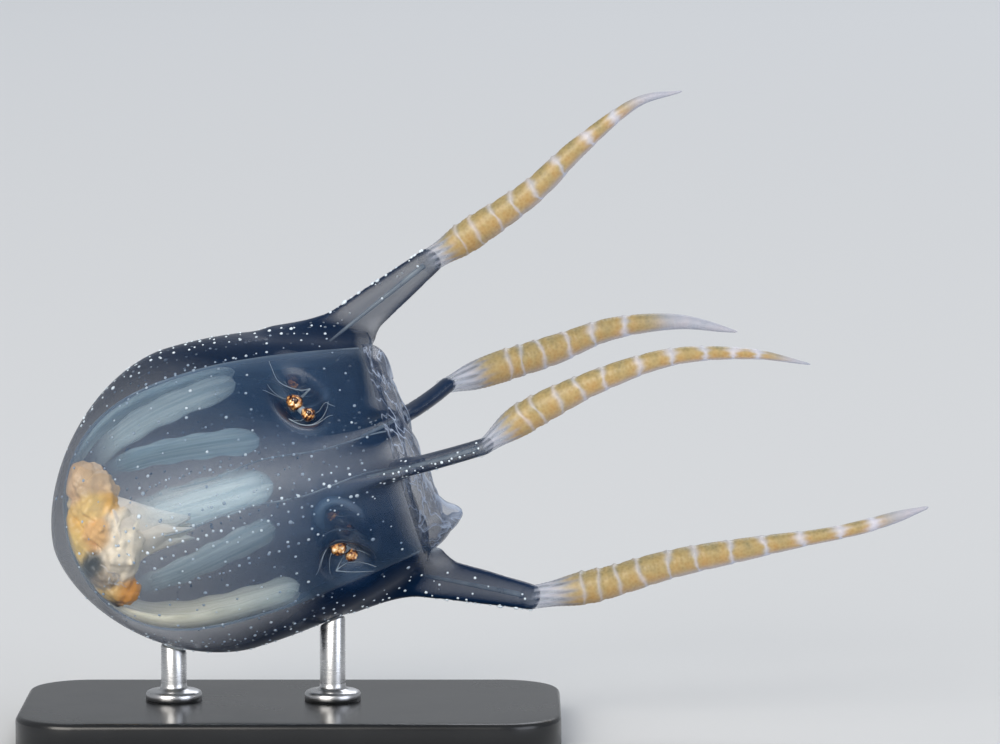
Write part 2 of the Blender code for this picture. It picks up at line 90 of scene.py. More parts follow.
def end_material(tree, inputs, lamps_keep=None):
    """Ends the tree in a Principled shader. With lamps_keep, lamps pass through it and keep that colour."""
    surface = add(tree, "ShaderNodeBsdfPrincipled", inputs).outputs[0]
    if lamps_keep:
        path = add(tree, "ShaderNodeLightPath")
        clear = add(tree, "ShaderNodeBsdfTransparent", {"Color": (*lamps_keep, 1)})
        surface = add(tree, "ShaderNodeMixShader", {0: path.outputs["Is Shadow Ray"], 1: surface,
                                                    2: clear.outputs[0]}).outputs[0]
    add(tree, "ShaderNodeOutputMaterial", {"Surface": surface})


base_low, base_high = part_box("stand_base")
base_middle = (base_low + base_high) / 2 / MM
APEX = np.array([base_middle.x - BASE_FROM_APEX, base_middle.y, APEX_HEIGHT])
TIP = np.array(Matrix.Rotation(-BELL_LEAN, 3, "X") @ Matrix.Rotation(-BELL_RISE, 3, "Y"))


def to_world(points):
    """Bell coordinates in mm (x down the axis from the apex, z up across it, -y to the front) to world mm."""
    return np.asarray(points) @ TIP.T + APEX


target = Vector((APEX[0] + VIEW_MIDDLE[0], APEX[1] + VIEW_MIDDLE[1] * math.sin(VIEW_DROP),
                 APEX[2] + VIEW_MIDDLE[1] * math.cos(VIEW_DROP))) * MM
backwards = Vector((0, -math.cos(VIEW_DROP), math.sin(VIEW_DROP)))
camera = bpy.data.objects.new("camera", bpy.data.cameras.new("camera"))
camera.data.lens = LENS
camera.data.sensor_width = SENSOR
camera.data.clip_start = 0.005
camera.data.clip_end = 20
camera.location = target + backwards * (VIEW_WIDTH * LENS / SENSOR * MM)
camera.rotation_mode = "QUATERNION"
camera.rotation_quaternion = (-backwards).to_track_quat("-Z", "Y")
bpy.context.collection.objects.link(camera)
bpy.context.scene.camera = camera

floor_mesh = bpy.data.meshes.new("table_top")
floor_mesh.from_pydata([(-FLOOR_REACH, -FLOOR_REACH, 0), (FLOOR_REACH, -FLOOR_REACH, 0),
                        (FLOOR_REACH, FLOOR_REACH, 0), (-FLOOR_REACH, FLOOR_REACH, 0)], [], [(0, 1, 2, 3)])
floor = bpy.data.objects.new("table_top", floor_mesh)
bpy.context.collection.objects.link(floor)
paper, tree = new_material("seamless_paper")
end_material(tree, {"Base Color": linear("CBCDCF"), "Roughness": 0.85})
floor_mesh.materials.append(paper)

# name, direction from the object, distance in m, side in m, watts, colour
for name, direction, distance, side, watts, tint in (
        ("key_box", (-0.55, -1.00, 0.55), 1.3, 0.90, 19, "FFF9F0"),
        ("fill_box", (0.95, -0.75, 0.40), 1.5, 1.00, 8, "F0F5FF"),
        ("back_box", (0.25, 0.90, 0.90), 1.4, 0.80, 7.5, "F6F9FF")):
    lamp = bpy.data.lights.new(name, "AREA")
    lamp.size = side
    lamp.energy = watts
    lamp.color = linear(tint)[:3]
    box = bpy.data.objects.new(name, lamp)
    away = Vector(direction).normalized()
    box.location = target + away * distance
    box.rotation_mode = "QUATERNION"
    box.rotation_quaternion = (-away).to_track_quat("-Z", "Y")
    bpy.context.collection.objects.link(box)

world = bpy.data.worlds.new("studio")
world.use_nodes = True
world.node_tree.nodes.clear()
sky = add(world.node_tree, "ShaderNodeBackground", {"Color": linear("E9EDF2"), "Strength": 0.46})
add(world.node_tree, "ShaderNodeOutputWorld", {"Surface": sky.outputs[0]})
bpy.context.scene.world = world
bpy.context.scene.view_settings.view_transform = "Standard"
bpy.context.scene.cycles.transparent_max_bounces = 40       # a line of sight crosses many clear walls here

# ---------------------------------------------------------------- bell and pedalia
# The bell is a thick cup of clear jelly under one thin skin, four-cornered, with a pit in each face. A flat
# blade of the same jelly, a pedalium, grows from each corner. One skin covers them all and lines the hollow.

BELL_DEPTH = 14.0
HOLLOW_TOP = 0.6                        # depth where the hollow begins
CORNER_TURN = math.radians(9.0)         # the upper corner's turn from straight up
BOW = 0.2
SQUARENESS = 1.7
SQUARE_REACH = 17.0
SQUARE_ONSET = 0.7
NICHE_DEPTH_AT = 10.9
NICHE_HALF_LENGTH = 1.08
NICHE_HALF_WIDTH = 0.78
NICHE_FLOOR = 3.68
NICHE_WALL = 0.5
NICHE_SLANT = math.radians(62)
EYE_RADIUS = 4.08                       # axis to the middle of a rhopalium
BLADE_ROOT = (11.4, 4.2)                # along the axis, out from it
BLADE_KNEE = (14.3, 5.5)
BLADE_ROOT_HALF_WIDTH = 0.98
BLADE_END_HALF_WIDTH = 0.50
BLADE_NARROWING = 1.3
BLADE_HALF_THICK = 0.31
BLADE_FILLET = 0.9                      # how softly a blade grows out of the bell
BLADE_BEYOND = 2.2                      # farther than this from its path, a blade isn't measured
LIP_FILLET = 0.3
MARGIN_WAVE = 0.13
SKIN_STEP = 0.13                        # spacing of the grid that the skin is found on, and the grid's corners
SKIN_LOW, SKIN_HIGH = (-0.5, -8.4, -8.4), (18.2, 8.4, 8.6)

# Each arm's tentacle runs through these points, in bell coordinates
ARMS = {
    "upper": ((17.26, -1.10, 6.64), (19.15, -1.30, 7.19), (21.73, -1.60, 8.04),
              (23.94, -1.80, 9.17), (26.52, -2.00, 10.17), (28.4, -2.10, 10.10)),
    "near": ((17.25, -6.75, -0.80), (19.0, -7.20, -0.18), (22.0, -7.50, 0.35),
             (25.0, -7.40, 0.42), (27.8, -7.10, -0.30), (29.9, -6.70, -1.33)),
    "lower": ((17.3, 1.10, -7.09), (20.0, 1.30, -7.37), (23.0, 1.45, -7.41),
              (26.5, 1.60, -7.74), (30.0, 1.70, -8.12), (33.2, 1.75, -8.14)),
    "far": ((16.4, 6.60, 1.81), (18.6, 7.10, 1.91), (21.0, 7.45, 1.96),
            (23.4, 7.60, 2.11), (26.0, 7.55, 1.63), (28.2, 7.30, 0.56)),
}


def bow(depth):
    """How far the axis stands above a straight line: half a sine wave along the bell."""
    return BOW * np.sin(np.pi * np.clip(depth / BELL_DEPTH, 0, 1))


def at_turn(depth, radius, turn):
    """The point that far down the axis and out from it, at that turn from straight up towards the front."""
    depth, radius, turn = np.broadcast_arrays(depth, radius, turn)
    return np.stack([depth, -radius * np.sin(turn), radius * np.cos(turn) + bow(depth)], axis=-1)


def circle(count):
    """Turns right round, evenly spaced."""
    return np.linspace(0, 2 * np.pi, count, endpoint=False)


def rise(value, start, end):
    """0 up to the start, 1 from the end on, and straight between them. The end may be the smaller."""
    return np.clip((value - start) / (end - start), 0, 1)


def corner_turn(corner):
    """The turn of a corner, 0 being the upper one. Halves lie in the middle of a face."""
    return CORNER_TURN + corner * np.pi / 2


def section_share(depth, turn):
    """Radius at a turn over the corner's: a superellipse whose exponent rises from 2 at the apex."""
    power = 2 + SQUARENESS * np.sin(np.pi * np.clip(depth, 0, BELL_DEPTH) / SQUARE_REACH) ** SQUARE_ONSET
    from_face = turn - CORNER_TURN - np.pi / 4
    spread = np.abs(np.cos(from_face)) ** power + np.abs(np.sin(from_face)) ** power
    return 2 ** (1 / power - 0.5) * spread ** (-1 / power)


def wall_radius(depth, start, widest, radius, margin_radius, dome, draw):
    """Axis to corner: a dome (1 - above^flat)^round down to the widest, less a power of what lies below."""
    flat, round_top = dome
    above = np.clip(1 - (depth - start) / (widest - start), 0, 1)
    below = np.clip((depth - widest) / (BELL_DEPTH - widest), 0, 1)
    return radius * (1 - above**flat) ** round_top - (radius - margin_radius) * below**draw


def outer_wall(depth):
    """The outside's radius at its corners."""
    return wall_radius(depth, 0.0, widest=6.4, radius=6.13, margin_radius=4.7, dome=(1.8, 0.6), draw=2.0)


def hollow_wall(depth):
    """The hollow's radius at its corners."""
    return wall_radius(depth, HOLLOW_TOP, widest=7.4, radius=5.0, margin_radius=4.12, dome=(3.0, 0.5), draw=1.5)


def niche_share(depth, turn):
    """1 at the middle of a niche and 0 round it: exp(-d^4) of a slanting ellipse's distance d."""
    from_face = (turn - CORNER_TURN) % (np.pi / 2) - np.pi / 4
    downward = from_face * EYE_RADIUS * np.sign(np.sin(turn))
    deeper = depth - NICHE_DEPTH_AT
    lengthways = deeper * math.cos(NICHE_SLANT) + downward * math.sin(NICHE_SLANT)
    widthways = downward * math.cos(NICHE_SLANT) - deeper * math.sin(NICHE_SLANT)
    distance = (lengthways / NICHE_HALF_LENGTH) ** 2 + (widthways / NICHE_HALF_WIDTH) ** 2
    return np.exp(-distance**2)


def hollow_radius(depth, turn):
    """Axis to the hollow's wall, which swells inwards behind each niche."""
    plain = section_share(depth, turn) * hollow_wall(depth)
    return plain - np.maximum(plain - NICHE_FLOOR + NICHE_WALL, 0) * niche_share(depth, turn)


TABLE_STEP = 0.05
TABLE_START = -1.5
TABLE_END = 19.5
TABLE_RADIUS = 13
FINE_UNTIL = 7                          # the profile's points lie closer above this depth
HOLLOW_RUNS_TO = 19.0                   # the hollow's profile goes straight on past the margin


def distance_table(wall, start, end):
    """Signed distance to a wall's profile, below 0 inside it, on a grid of depths and radii."""
    depths = np.concatenate([start + (FINE_UNTIL - start) * np.linspace(0, 1, 90) ** 2,
                             np.linspace(FINE_UNTIL + 0.1, end, 60)])
    radii = wall(np.minimum(depths, BELL_DEPTH))
    line = np.column_stack([np.append(depths, end), np.append(radii, 0.0)])
    grid_depth = np.arange(TABLE_START, TABLE_END, TABLE_STEP)
    grid_radius = np.arange(0, TABLE_RADIUS, TABLE_STEP)
    spots = np.stack(np.meshgrid(grid_depth, grid_radius, indexing="ij"), axis=-1)
    nearest = np.full(spots.shape[:2], 99.0)
    for a, b in zip(line[:-1], line[1:]):
        along = b - a
        share = np.clip(((spots - a) @ along) / max(along @ along, 1e-12), 0, 1)
        nearest = np.minimum(nearest, np.linalg.norm(spots - a - share[..., None] * along, axis=-1))
    reach = wall(np.clip(spots[..., 0], start, BELL_DEPTH))
    inside = (spots[..., 0] > start) & (spots[..., 0] < end) & (spots[..., 1] < reach)
    return np.where(inside, -nearest, nearest)


def look_up(table, depth, radius):
    """The table's value there, bilinear between its grid's points."""
    i = np.clip((depth - TABLE_START) / TABLE_STEP, 0, table.shape[0] - 1.001)
    j = np.clip(radius / TABLE_STEP, 0, table.shape[1] - 1.001)
    i0, j0 = i.astype(int), j.astype(int)
    u, v = i - i0, j - j0
    return ((1 - u) * (1 - v) * table[i0, j0] + u * (1 - v) * table[i0 + 1, j0]
            + (1 - u) * v * table[i0, j0 + 1] + u * v * table[i0 + 1, j0 + 1])


OUTER_TABLE = distance_table(outer_wall, 0.0, BELL_DEPTH)
HOLLOW_TABLE = distance_table(hollow_wall, HOLLOW_TOP, HOLLOW_RUNS_TO)


def soft_min(a, b, reach):
    """The smaller of two distances, rounded off by a parabola where they are within reach of each other."""
    near = np.maximum(reach - np.abs(a - b), 0) / reach
    return np.minimum(a, b) - near**2 * reach / 4


def polar(points):
    """Depth, radius and turn of points in bell coordinates."""
    depth = points[..., 0]
    above = points[..., 2] - bow(depth)
    return depth, np.hypot(points[..., 1], above), np.arctan2(-points[..., 1], above)


def hollow_field(points):
    """Distance outside the hollow, below 0 within it."""
    depth, radius, turn = polar(points)
    share = section_share(depth, turn)
    wall = share * hollow_wall(np.clip(depth, HOLLOW_TOP, BELL_DEPTH))
    swell = np.maximum(wall - NICHE_FLOOR + NICHE_WALL, 0)
    return look_up(HOLLOW_TABLE, depth, radius / share) + swell * niche_share(depth, turn)


def unit(vectors):
    """Vectors over their lengths."""
    return vectors / np.linalg.norm(vectors, axis=1, keepdims=True)


def blade_path(corner, end, count):
    """Points on a quadratic Bezier curve from inside the bell's corner over the knee to the tentacle."""
    root, knee = at_turn(*BLADE_ROOT, corner_turn(corner)), at_turn(*BLADE_KNEE, corner_turn(corner))
    share = np.linspace(0, 1, count)[:, None]
    return (1 - share) ** 2 * root + 2 * share * (1 - share) * knee + share**2 * np.asarray(end)


def blade_field(points, corner, end):
    """Rough distance outside one blade: (q - 1) times its half thickness, q being the elliptical radius
    across the nearest place on its path."""
    path = blade_path(corner, end, 10)
    far = np.full(points.shape[:-1], 9.0)
    close = ((points > path.min(axis=0) - BLADE_BEYOND) & (points < path.max(axis=0) + BLADE_BEYOND)).all(axis=-1)
    spots = points[close]
    if not len(spots):
        return far
    best = np.full(len(spots), 1e9)
    offset = np.zeros_like(spots)
    forward = np.zeros_like(spots)
    place = np.zeros(len(spots))
    for index, (a, b) in enumerate(zip(path[:-1], path[1:])):
        along = b - a
        share = np.clip((spots - a) @ along / (along @ along), 0, 1)
        gap = spots - a - share[:, None] * along
        square = (gap**2).sum(axis=1)
        nearer = square < best
        best[nearer] = square[nearer]
        offset[nearer] = gap[nearer]
        forward[nearer] = along / np.linalg.norm(along)
        place[nearer] = (index + share[nearer]) / (len(path) - 1)
    outward = at_turn(0, 1, corner_turn(corner))
    width = unit(outward - forward * (forward @ outward)[:, None])
    side = np.cross(forward, width)
    half_width = BLADE_ROOT_HALF_WIDTH - (BLADE_ROOT_HALF_WIDTH - BLADE_END_HALF_WIDTH) * place**BLADE_NARROWING
    reach = np.sqrt(((offset * width).sum(axis=1) / half_width) ** 2
                    + ((offset * side).sum(axis=1) / BLADE_HALF_THICK) ** 2
                    + ((offset * forward).sum(axis=1) / BLADE_HALF_THICK) ** 2)
    far[close] = (reach - 1) * BLADE_HALF_THICK
    return far


def skin_field(points):
    """Distance outside the jelly: the bell softly joined to its four blades, less the hollow."""
    depth, radius, turn = polar(points)
    depth = depth + MARGIN_WAVE * np.sin(9 * turn + 2 * np.sin(2 * turn)) * rise(depth, 12, 14) ** 2
    share = section_share(depth, turn)
    pit = np.maximum(share * outer_wall(np.clip(depth, 0, BELL_DEPTH)) - NICHE_FLOOR, 0)
    body = look_up(OUTER_TABLE, depth, radius / share) + pit * niche_share(depth, turn)
    for corner, route in enumerate(ARMS.values()):
        body = soft_min(body, blade_field(points, corner, route[0]), BLADE_FILLET)
    return -soft_min(-body, hollow_field(points), LIP_FILLET)


def slope(field, points):
    """The field's gradient, from differences over a hundredth of a millimetre each way."""
    reach = 0.01
    return np.stack([(field(points + step) - field(points - step)) / (2 * reach)
                     for step in np.eye(3) * reach], axis=-1)


def settle(field, points, rounds=3):
    """Moves points along the gradient until they lie where the field is 0, by Newton's rule."""
    for _ in range(rounds):
        gradient = slope(field, points)
        square = np.maximum((gradient**2).sum(axis=-1), 0.05)
        points = points - gradient * np.clip(field(points) / square, -0.2, 0.2)[..., None]
    return points


def surface_of(field, low, high, step):
    """The closed surface where a field is 0, as points and quads.

    Each cell of a grid that the surface crosses gets one point, the mean of the crossings on its edges, and
    each crossed edge gets a quad of the four cells round it. The points then settle onto the surface.
    """
    axes = [np.arange(a, b + step, step) for a, b in zip(low, high)]
    grid = np.stack(np.meshgrid(*axes, indexing="ij"), axis=-1)
    value = np.concatenate([field(slab) for slab in np.array_split(grid, 12)])
    cells = tuple(n - 1 for n in value.shape)
    total, count = np.zeros(cells + (3,)), np.zeros(cells)
    crossings = []
    for axis in range(3):
        here, spots = np.moveaxis(value, axis, 0), np.moveaxis(grid, axis, 0)
        first, second = here[:-1], here[1:]
        crossed = (first < 0) != (second < 0)
        share = np.where(crossed, first / np.where(crossed, first - second, 1), 0)
        point = (spots[:-1] + share[..., None] * (spots[1:] - spots[:-1])) * crossed[..., None]
        sums, counts = np.moveaxis(total, axis, 0), np.moveaxis(count, axis, 0)
        rows, columns = counts.shape[1:]
        for i in (0, 1):
            for j in (0, 1):
                sums += point[:, i:rows + i, j:columns + j]
                counts += crossed[:, i:rows + i, j:columns + j]
        crossings.append((crossed, first < 0))
    index = np.full(cells, -1)
    used = count > 0
    index[used] = np.arange(used.sum())
    quads = []
    for axis, (crossed, rising) in enumerate(crossings):
        cell = np.moveaxis(index, axis, 0)
        inner = crossed[:, 1:-1, 1:-1]
        quad = np.stack([cell[:, :-1, :-1], cell[:, 1:, :-1], cell[:, 1:, 1:], cell[:, :-1, 1:]], axis=-1)[inner]
        turned = rising[:, 1:-1, 1:-1][inner] == (axis == 1)
        quad[turned] = quad[turned][:, ::-1]
        quads.append(quad)
    return settle(field, total[used] / count[used][:, None]), np.concatenate(quads)


ATTRIBUTE_KINDS = {1: ("FLOAT", "value"), 3: ("FLOAT_VECTOR", "vector"), 4: ("FLOAT_COLOR", "color")}


def make_piece(name, points, faces, finish, slot, attributes=None, replaced=()):
    """A smooth mesh object from points in bell coordinates, riding on the model.

    points may be a grid of them. attributes holds one number, vector or colour for each point.
    """
    mesh = bpy.data.meshes.new(name)
    mesh.from_pydata((to_world(points.reshape(-1, 3)) * MM).tolist(), [], [[int(i) for i in face] for face in faces])
    for label, values in (attributes or {}).items():
        values = np.asarray(values, dtype=np.float32)
        kind, field = ATTRIBUTE_KINDS[values.size // len(mesh.vertices)]
        mesh.attributes.new(label, kind, "POINT").data.foreach_set(field, values.ravel())
    mesh.shade_smooth()
    mesh.materials.append(finish)
    piece = bpy.data.objects.new(name, mesh)
    bpy.context.collection.objects.link(piece)
    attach(piece, "root")
    if replaced:
        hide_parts(*replaced)
    return piece


def attribute(tree, name, output="Fac"):
    """A socket with one of the mesh's own values."""
    return add(tree, "ShaderNodeAttribute", attribute_name=name).outputs[output]


def noise(tree, size, vector=None, **inputs):
    """A socket with noise, its size in mm in Object coordinates, or in the measure of the vector given."""
    if vector is None:
        vector, size = add(tree, "ShaderNodeTexCoord").outputs["Object"], size * MM
    return add(tree, "ShaderNodeTexNoise", {"Vector": vector, "Scale": 1 / size, **inputs}).outputs["Fac"]


def calc(tree, operation, *values, clamp=False):
    """A socket with the result of an operation on numbers and sockets."""
    return add(tree, "ShaderNodeMath", dict(enumerate(values)), operation=operation, use_clamp=clamp).outputs[0]


def ranged(tree, value, low, high, start=0.0, end=1.0):
    """A socket that goes from low to high while the value goes from start to end."""
    return add(tree, "ShaderNodeMapRange", {"Value": value, "From Min": start, "From Max": end,
                                            "To Min": low, "To Max": high}).outputs[0]


def between(tree, share, low, high):
    """A socket with a colour between two, each an sRGB hex or a socket."""
    low, high = (linear(end) if isinstance(end, str) else end for end in (low, high))
    return add(tree, "ShaderNodeMix", {"Factor": share, "A": low, "B": high}, data_type="RGBA").outputs["Result"]


def facing(tree, blend):
    """A socket with 0 where the eye looks straight at the surface, to 1 where it looks along it."""
    return add(tree, "ShaderNodeLayerWeight", {"Blend": blend}).outputs["Facing"]


def bumped(tree, height, strength, distance):
    """A socket with the normals of a relief that many mm high."""
    return add(tree, "ShaderNodeBump", {"Height": height, "Strength": strength,
                                        "Distance": distance * MM}).outputs[0]


# Mesoglea, a clear jelly, under a wet skin one cell thick: smoky navy in depth. The hollow's lining carries
# muscle, and is painted paler where the eye looks along it, a painted sheen. The colour is weakest over the stomach
# and over the ripest leaf, and the back half is made deeper, painted shade for a dark backdrop behind the animal,
# so that the organs stand out. Lamps pass through with a slight loss.
JELLY_CLOUD = 2.2                       # mm across one cloud
LINING_STREAK = 0.5                     # mm between the muscle's streaks
CLEAR_DEPTHS = (1.8, 8.0, 10.5, 15.4, 17.4)         # down the axis, and how strong the colour is there
CLEAR_STRENGTHS = (0.47, 0.82, 1.08, 1.10, 1.0)
PAINTED_SHADE_BEHIND = 0.8                     # how much stronger the colour is at the back, as painted shade
LINING_CLEARER = 0.6                    # and how much weaker on the lining inside the margin,
RIM_CLEARER = 0.45                      # on the margin's rim
LEAF_CLEARER = 0.6                      # and over the ripest leaf
LEAF_HALF_HEIGHT = 0.6
jelly, tree = new_material("wet_mesoglea_jelly")
place = add(tree, "ShaderNodeTexCoord")
streak_lie = add(tree, "ShaderNodeMapping", {"Vector": place.outputs["Object"], "Scale": (0.15, 1, 1)})
clouds = noise(tree, JELLY_CLOUD, Detail=3.0)
streaks = noise(tree, LINING_STREAK * MM, streak_lie.outputs[0], Detail=2.0)
lining, aslant = attribute(tree, "lining"), facing(tree, 0.6)
body = between(tree, clouds, "04132B", "0D2847")
flesh = between(tree, streaks, "1E3858", "58799C")
# Paler towards the outline, where the eye looks along the lining: a painted sheen.
muscle_and_sheen = between(tree, calc(tree, "POWER", aslant, 2.8), flesh, "9DBAD6")
solid = add(tree, "ShaderNodeMix", {"Factor": lining, "A": ranged(tree, aslant, 0.33, 0.98),
                                    "B": ranged(tree, aslant, 0.10, 0.62)}, data_type="FLOAT")
end_material(tree, {
    "Base Color": between(tree, lining, body, muscle_and_sheen),
    "Alpha": calc(tree, "MULTIPLY", solid.outputs["Result"], attribute(tree, "strength"), clamp=True),
    "Normal": bumped(tree, clouds, 0.2, 0.05), "Roughness": 0.32, "IOR": 1.36, "Specular IOR Level": 0.35,
    "Coat Weight": 0.16, "Coat Roughness": 0.12, "Sheen Weight": 0.06, "Sheen Roughness": 0.25,
    "Sheen Tint": linear("B8CCE4")}, lamps_keep=(0.975, 0.98, 0.985))

skin_points, skin_quads = surface_of(skin_field, SKIN_LOW, SKIN_HIGH, SKIN_STEP)
lining_share = np.clip(1 - np.abs(hollow_field(skin_points)) / 0.25, 0, 1)
depth, radius, turn = polar(skin_points)
strength = np.interp(depth, CLEAR_DEPTHS, CLEAR_STRENGTHS)
strength *= 1 - LINING_CLEARER * lining_share * rise(depth, 11.5, 13.8)
margin_rim = rise(depth, 12.8, 13.6) * rise(radius / section_share(depth, turn), 5.3, 4.8)
strength *= 1 - RIM_CLEARER * margin_rim
# The half away from the camera is made more solid navy: painted shade standing for a dark backdrop.
behind = rise(skin_points[:, 1], -2.6, 1.4)
strength *= 1 + PAINTED_SHADE_BEHIND * behind**2 * (3 - 2 * behind)
leaf_turn = corner_turn(2) - 0.21                   # the near leaf beside the lower septum
leaf_height = at_turn(depth, hollow_radius(depth, leaf_turn) - 0.3, leaf_turn)[:, 2]
over_leaf = np.exp(-((skin_points[:, 2] - leaf_height) / LEAF_HALF_HEIGHT) ** 2) * (skin_points[:, 1] < 0.5)
over_leaf *= rise(depth, 1.4, 2.2) * rise(depth, 9.2, 8.4)
strength *= 1 - LEAF_CLEARER * over_leaf
make_piece("jelly_skin", skin_points, skin_quads, jelly, "jelly", {"lining": lining_share, "strength": strength},
           ["bell", *(f"pedalium_{arm}" for arm in ARMS)])

# ---------------------------------------------------------------- warts
# Small clusters of stinging cells stand on the skin as milky warts. They are strewn over the bell, lie in
# beaded rows on its four ridges and beside them, and follow the outer keel of each pedalium.

WART_SPACING = 0.92
WART_RADIUS = (0.032, 0.068)
WART_FLATNESS = 0.6
LARGE_WARTS = (0.12, 1.35)                          # the share that is larger, and by how much
MEAN_SHARE = 0.93                                   # the bell's mean radius over that at its corners
RIDGE_ROWS = (-0.115, -0.035, 0.05, 0.13)           # turns from the corner
RIDGE_PAINTED_HIGHLIGHT = (1.0, 0.35, 0.9, 0.6)            # upper, near, lower and far: whiter warts as a painted highlight on the two ridges along the outline
RIDGE_DEPTHS = (2.6, 13.0, 0.52)                    # from, to and spacing
FURROW_ROWS = (-0.44, 0.44)
FURROW_DEPTHS = (4.2, 10.6, 0.40)
KEEL_ROWS = (                                       # out and aside from the pedalium, and how many stand there
    (0.85, 0.0, 0.9), (0.7, 0.16, 0.35), (0.7, -0.17, 0.35), (0.2, 0.3, 0.3), (0.1, -0.3, 0.3), (-0.3, 0.3, 0.15))
draw = np.random.default_rng(11)


def grid_quads(rows, columns):
    """Quads of a grid whose columns run round and meet, row after row."""
    row, column = np.meshgrid(np.arange(rows - 1), np.arange(columns), indexing="ij")
    following = (column + 1) % columns
    quads = np.stack([row * columns + column, row * columns + following,
                      (row + 1) * columns + following, (row + 1) * columns + column], axis=-1)
    return quads.reshape(-1, 4)


BEAD_RINGS, BEAD_SIDES = 6, 8


def beads(centres, outward, radii, flatness, rings=BEAD_RINGS, around=BEAD_SIDES):
    """Ellipsoids, one at each centre, flattened along their outward direction, as one array of points and faces."""
    reference = np.where(np.abs(outward[:, :1]) < 0.9, [[1.0, 0, 0]], [[0, 1.0, 0]])
    first = unit(np.cross(outward, reference))
    second = np.cross(outward, first)
    latitude = np.linspace(0.03, np.pi - 0.03, rings)[:, None]
    longitude = circle(around)[None]
    shape = np.stack([np.sin(latitude) * np.cos(longitude), np.sin(latitude) * np.sin(longitude),
                      np.broadcast_to(np.cos(latitude), (rings, around)) * flatness], axis=-1).reshape(-1, 3)
    axes = np.stack([first, second, outward], axis=1)
    points = centres[:, None] + radii[:, None, None] * np.einsum("pk,ckd->cpd", shape, axes)
    quads = grid_quads(rings, around)[:, ::-1]
    caps = [list(range(around)), list(range((rings - 1) * around, rings * around))[::-1]]
    faces = []
    for start in range(0, len(centres) * rings * around, rings * around):
        faces += (quads + start).tolist() + [[start + i for i in cap] for cap in caps]
    return points.reshape(-1, 3), faces


rows = []
for depth in np.arange(0.9, 13.7, WART_SPACING):
    count = max(int(2 * np.pi * outer_wall(depth) * MEAN_SHARE / WART_SPACING), 4)
    turns = (np.arange(count) + draw.uniform(-0.4, 0.4, count)) / count * 2 * np.pi + depth
    rows.append(np.column_stack([depth + draw.uniform(-0.36, 0.36, count), turns]))
for corner in range(4):
    for shift in RIDGE_ROWS:
        depths = np.arange(*RIDGE_DEPTHS)
        depths = depths + draw.uniform(-0.12, 0.12, len(depths))
        turns = corner_turn(corner) + shift + draw.uniform(-0.015, 0.015, len(depths))
        rows.append(np.column_stack([depths, turns]))
    for shift in FURROW_ROWS:
        depths = np.arange(*FURROW_DEPTHS)
        turns = corner_turn(corner) + shift * (1 - 0.03 * depths) + draw.uniform(-0.01, 0.01, len(depths))
        rows.append(np.column_stack([depths, turns]))
sown = np.concatenate(rows)
sown = sown[niche_share(sown[:, 0], sown[:, 1]) < 0.001]
seats = at_turn(sown[:, 0], section_share(sown[:, 0], sown[:, 1]) * outer_wall(sown[:, 0]), sown[:, 1])
from_corner = np.abs((sown[:, 1] - CORNER_TURN + np.pi / 4) % (np.pi / 2) - np.pi / 4)
arm_beside = np.round((sown[:, 1] - CORNER_TURN) / (np.pi / 2)).astype(int) % 4
# Whiter near a ridge: the packed clusters there, scaled by each ridge's painted highlight.
ridge_packing_and_highlight = np.exp(-(from_corner / 0.2) ** 2) * np.array(RIDGE_PAINTED_HIGHLIGHT)[arm_beside]
keel_sizes = np.ones(len(seats))
for corner, route in enumerate(ARMS.values()):
    spine = blade_path(corner, route[0], 22)[6:-1]
    outward = at_turn(0, 1, corner_turn(corner))
    side = np.cross(outward, (1.0, 0, 0))
    for out, aside, share in KEEL_ROWS:
        keep = draw.random(len(spine)) < share
        strewn = spine + draw.normal(0, 0.07, spine.shape) + out * outward + aside * side
        seats = np.concatenate([seats, strewn[keep]])
        keel_wart = draw.uniform(0.9, 1.9, keep.sum()) if corner % 2 == 0 else np.full(keep.sum(), 0.75)
        sizes = keel_wart if out > 0.8 else np.full(keep.sum(), 0.8)
        keel_sizes = np.concatenate([keel_sizes, sizes])
seats = settle(skin_field, seats, 8)
outward = unit(slope(skin_field, seats))
large_share, larger = LARGE_WARTS
radii = draw.uniform(*WART_RADIUS, len(seats))
radii = radii * np.where(draw.random(len(seats)) < large_share, larger, 1.0) * keel_sizes
packed = np.clip(0.06 + 0.80 * np.append(ridge_packing_and_highlight, np.ones(len(seats) - len(ridge_packing_and_highlight)))
                 + draw.normal(0, 0.2, len(seats)), 0, 1)

# Packed stinging capsules in wet tissue: slate blue, and bluish white in the fullest clusters. On the upper and
# lower ridges, which lie along the outline, the white is also a painted highlight.
wart, tree = new_material("stinging_cell_warts")
fullness_and_highlight = calc(tree, "MULTIPLY_ADD", noise(tree, 0.04), 0.3, attribute(tree, "packed"), clamp=True)
end_material(tree, {"Base Color": between(tree, fullness_and_highlight, "566C86", "D0DCE5"), "Roughness": 0.3,
                    "Coat Weight": 0.4, "Coat Roughness": 0.08})
make_piece("warts", *beads(seats, outward, radii, WART_FLATNESS), wart, "velarium",
           {"packed": np.repeat(packed, BEAD_RINGS * BEAD_SIDES)})

# ---------------------------------------------------------------- velarium
# A thin muscular skirt grows from the wall inside the margin and narrows the mouth of the bell. It is drawn
# into soft folds, and its free edge is thickened.

VELARIUM_LENGTH = 1.15
VELARIUM_DRAW_IN = 1.15
VELARIUM_THICK = 0.06
VELARIUM_SIDES = 288


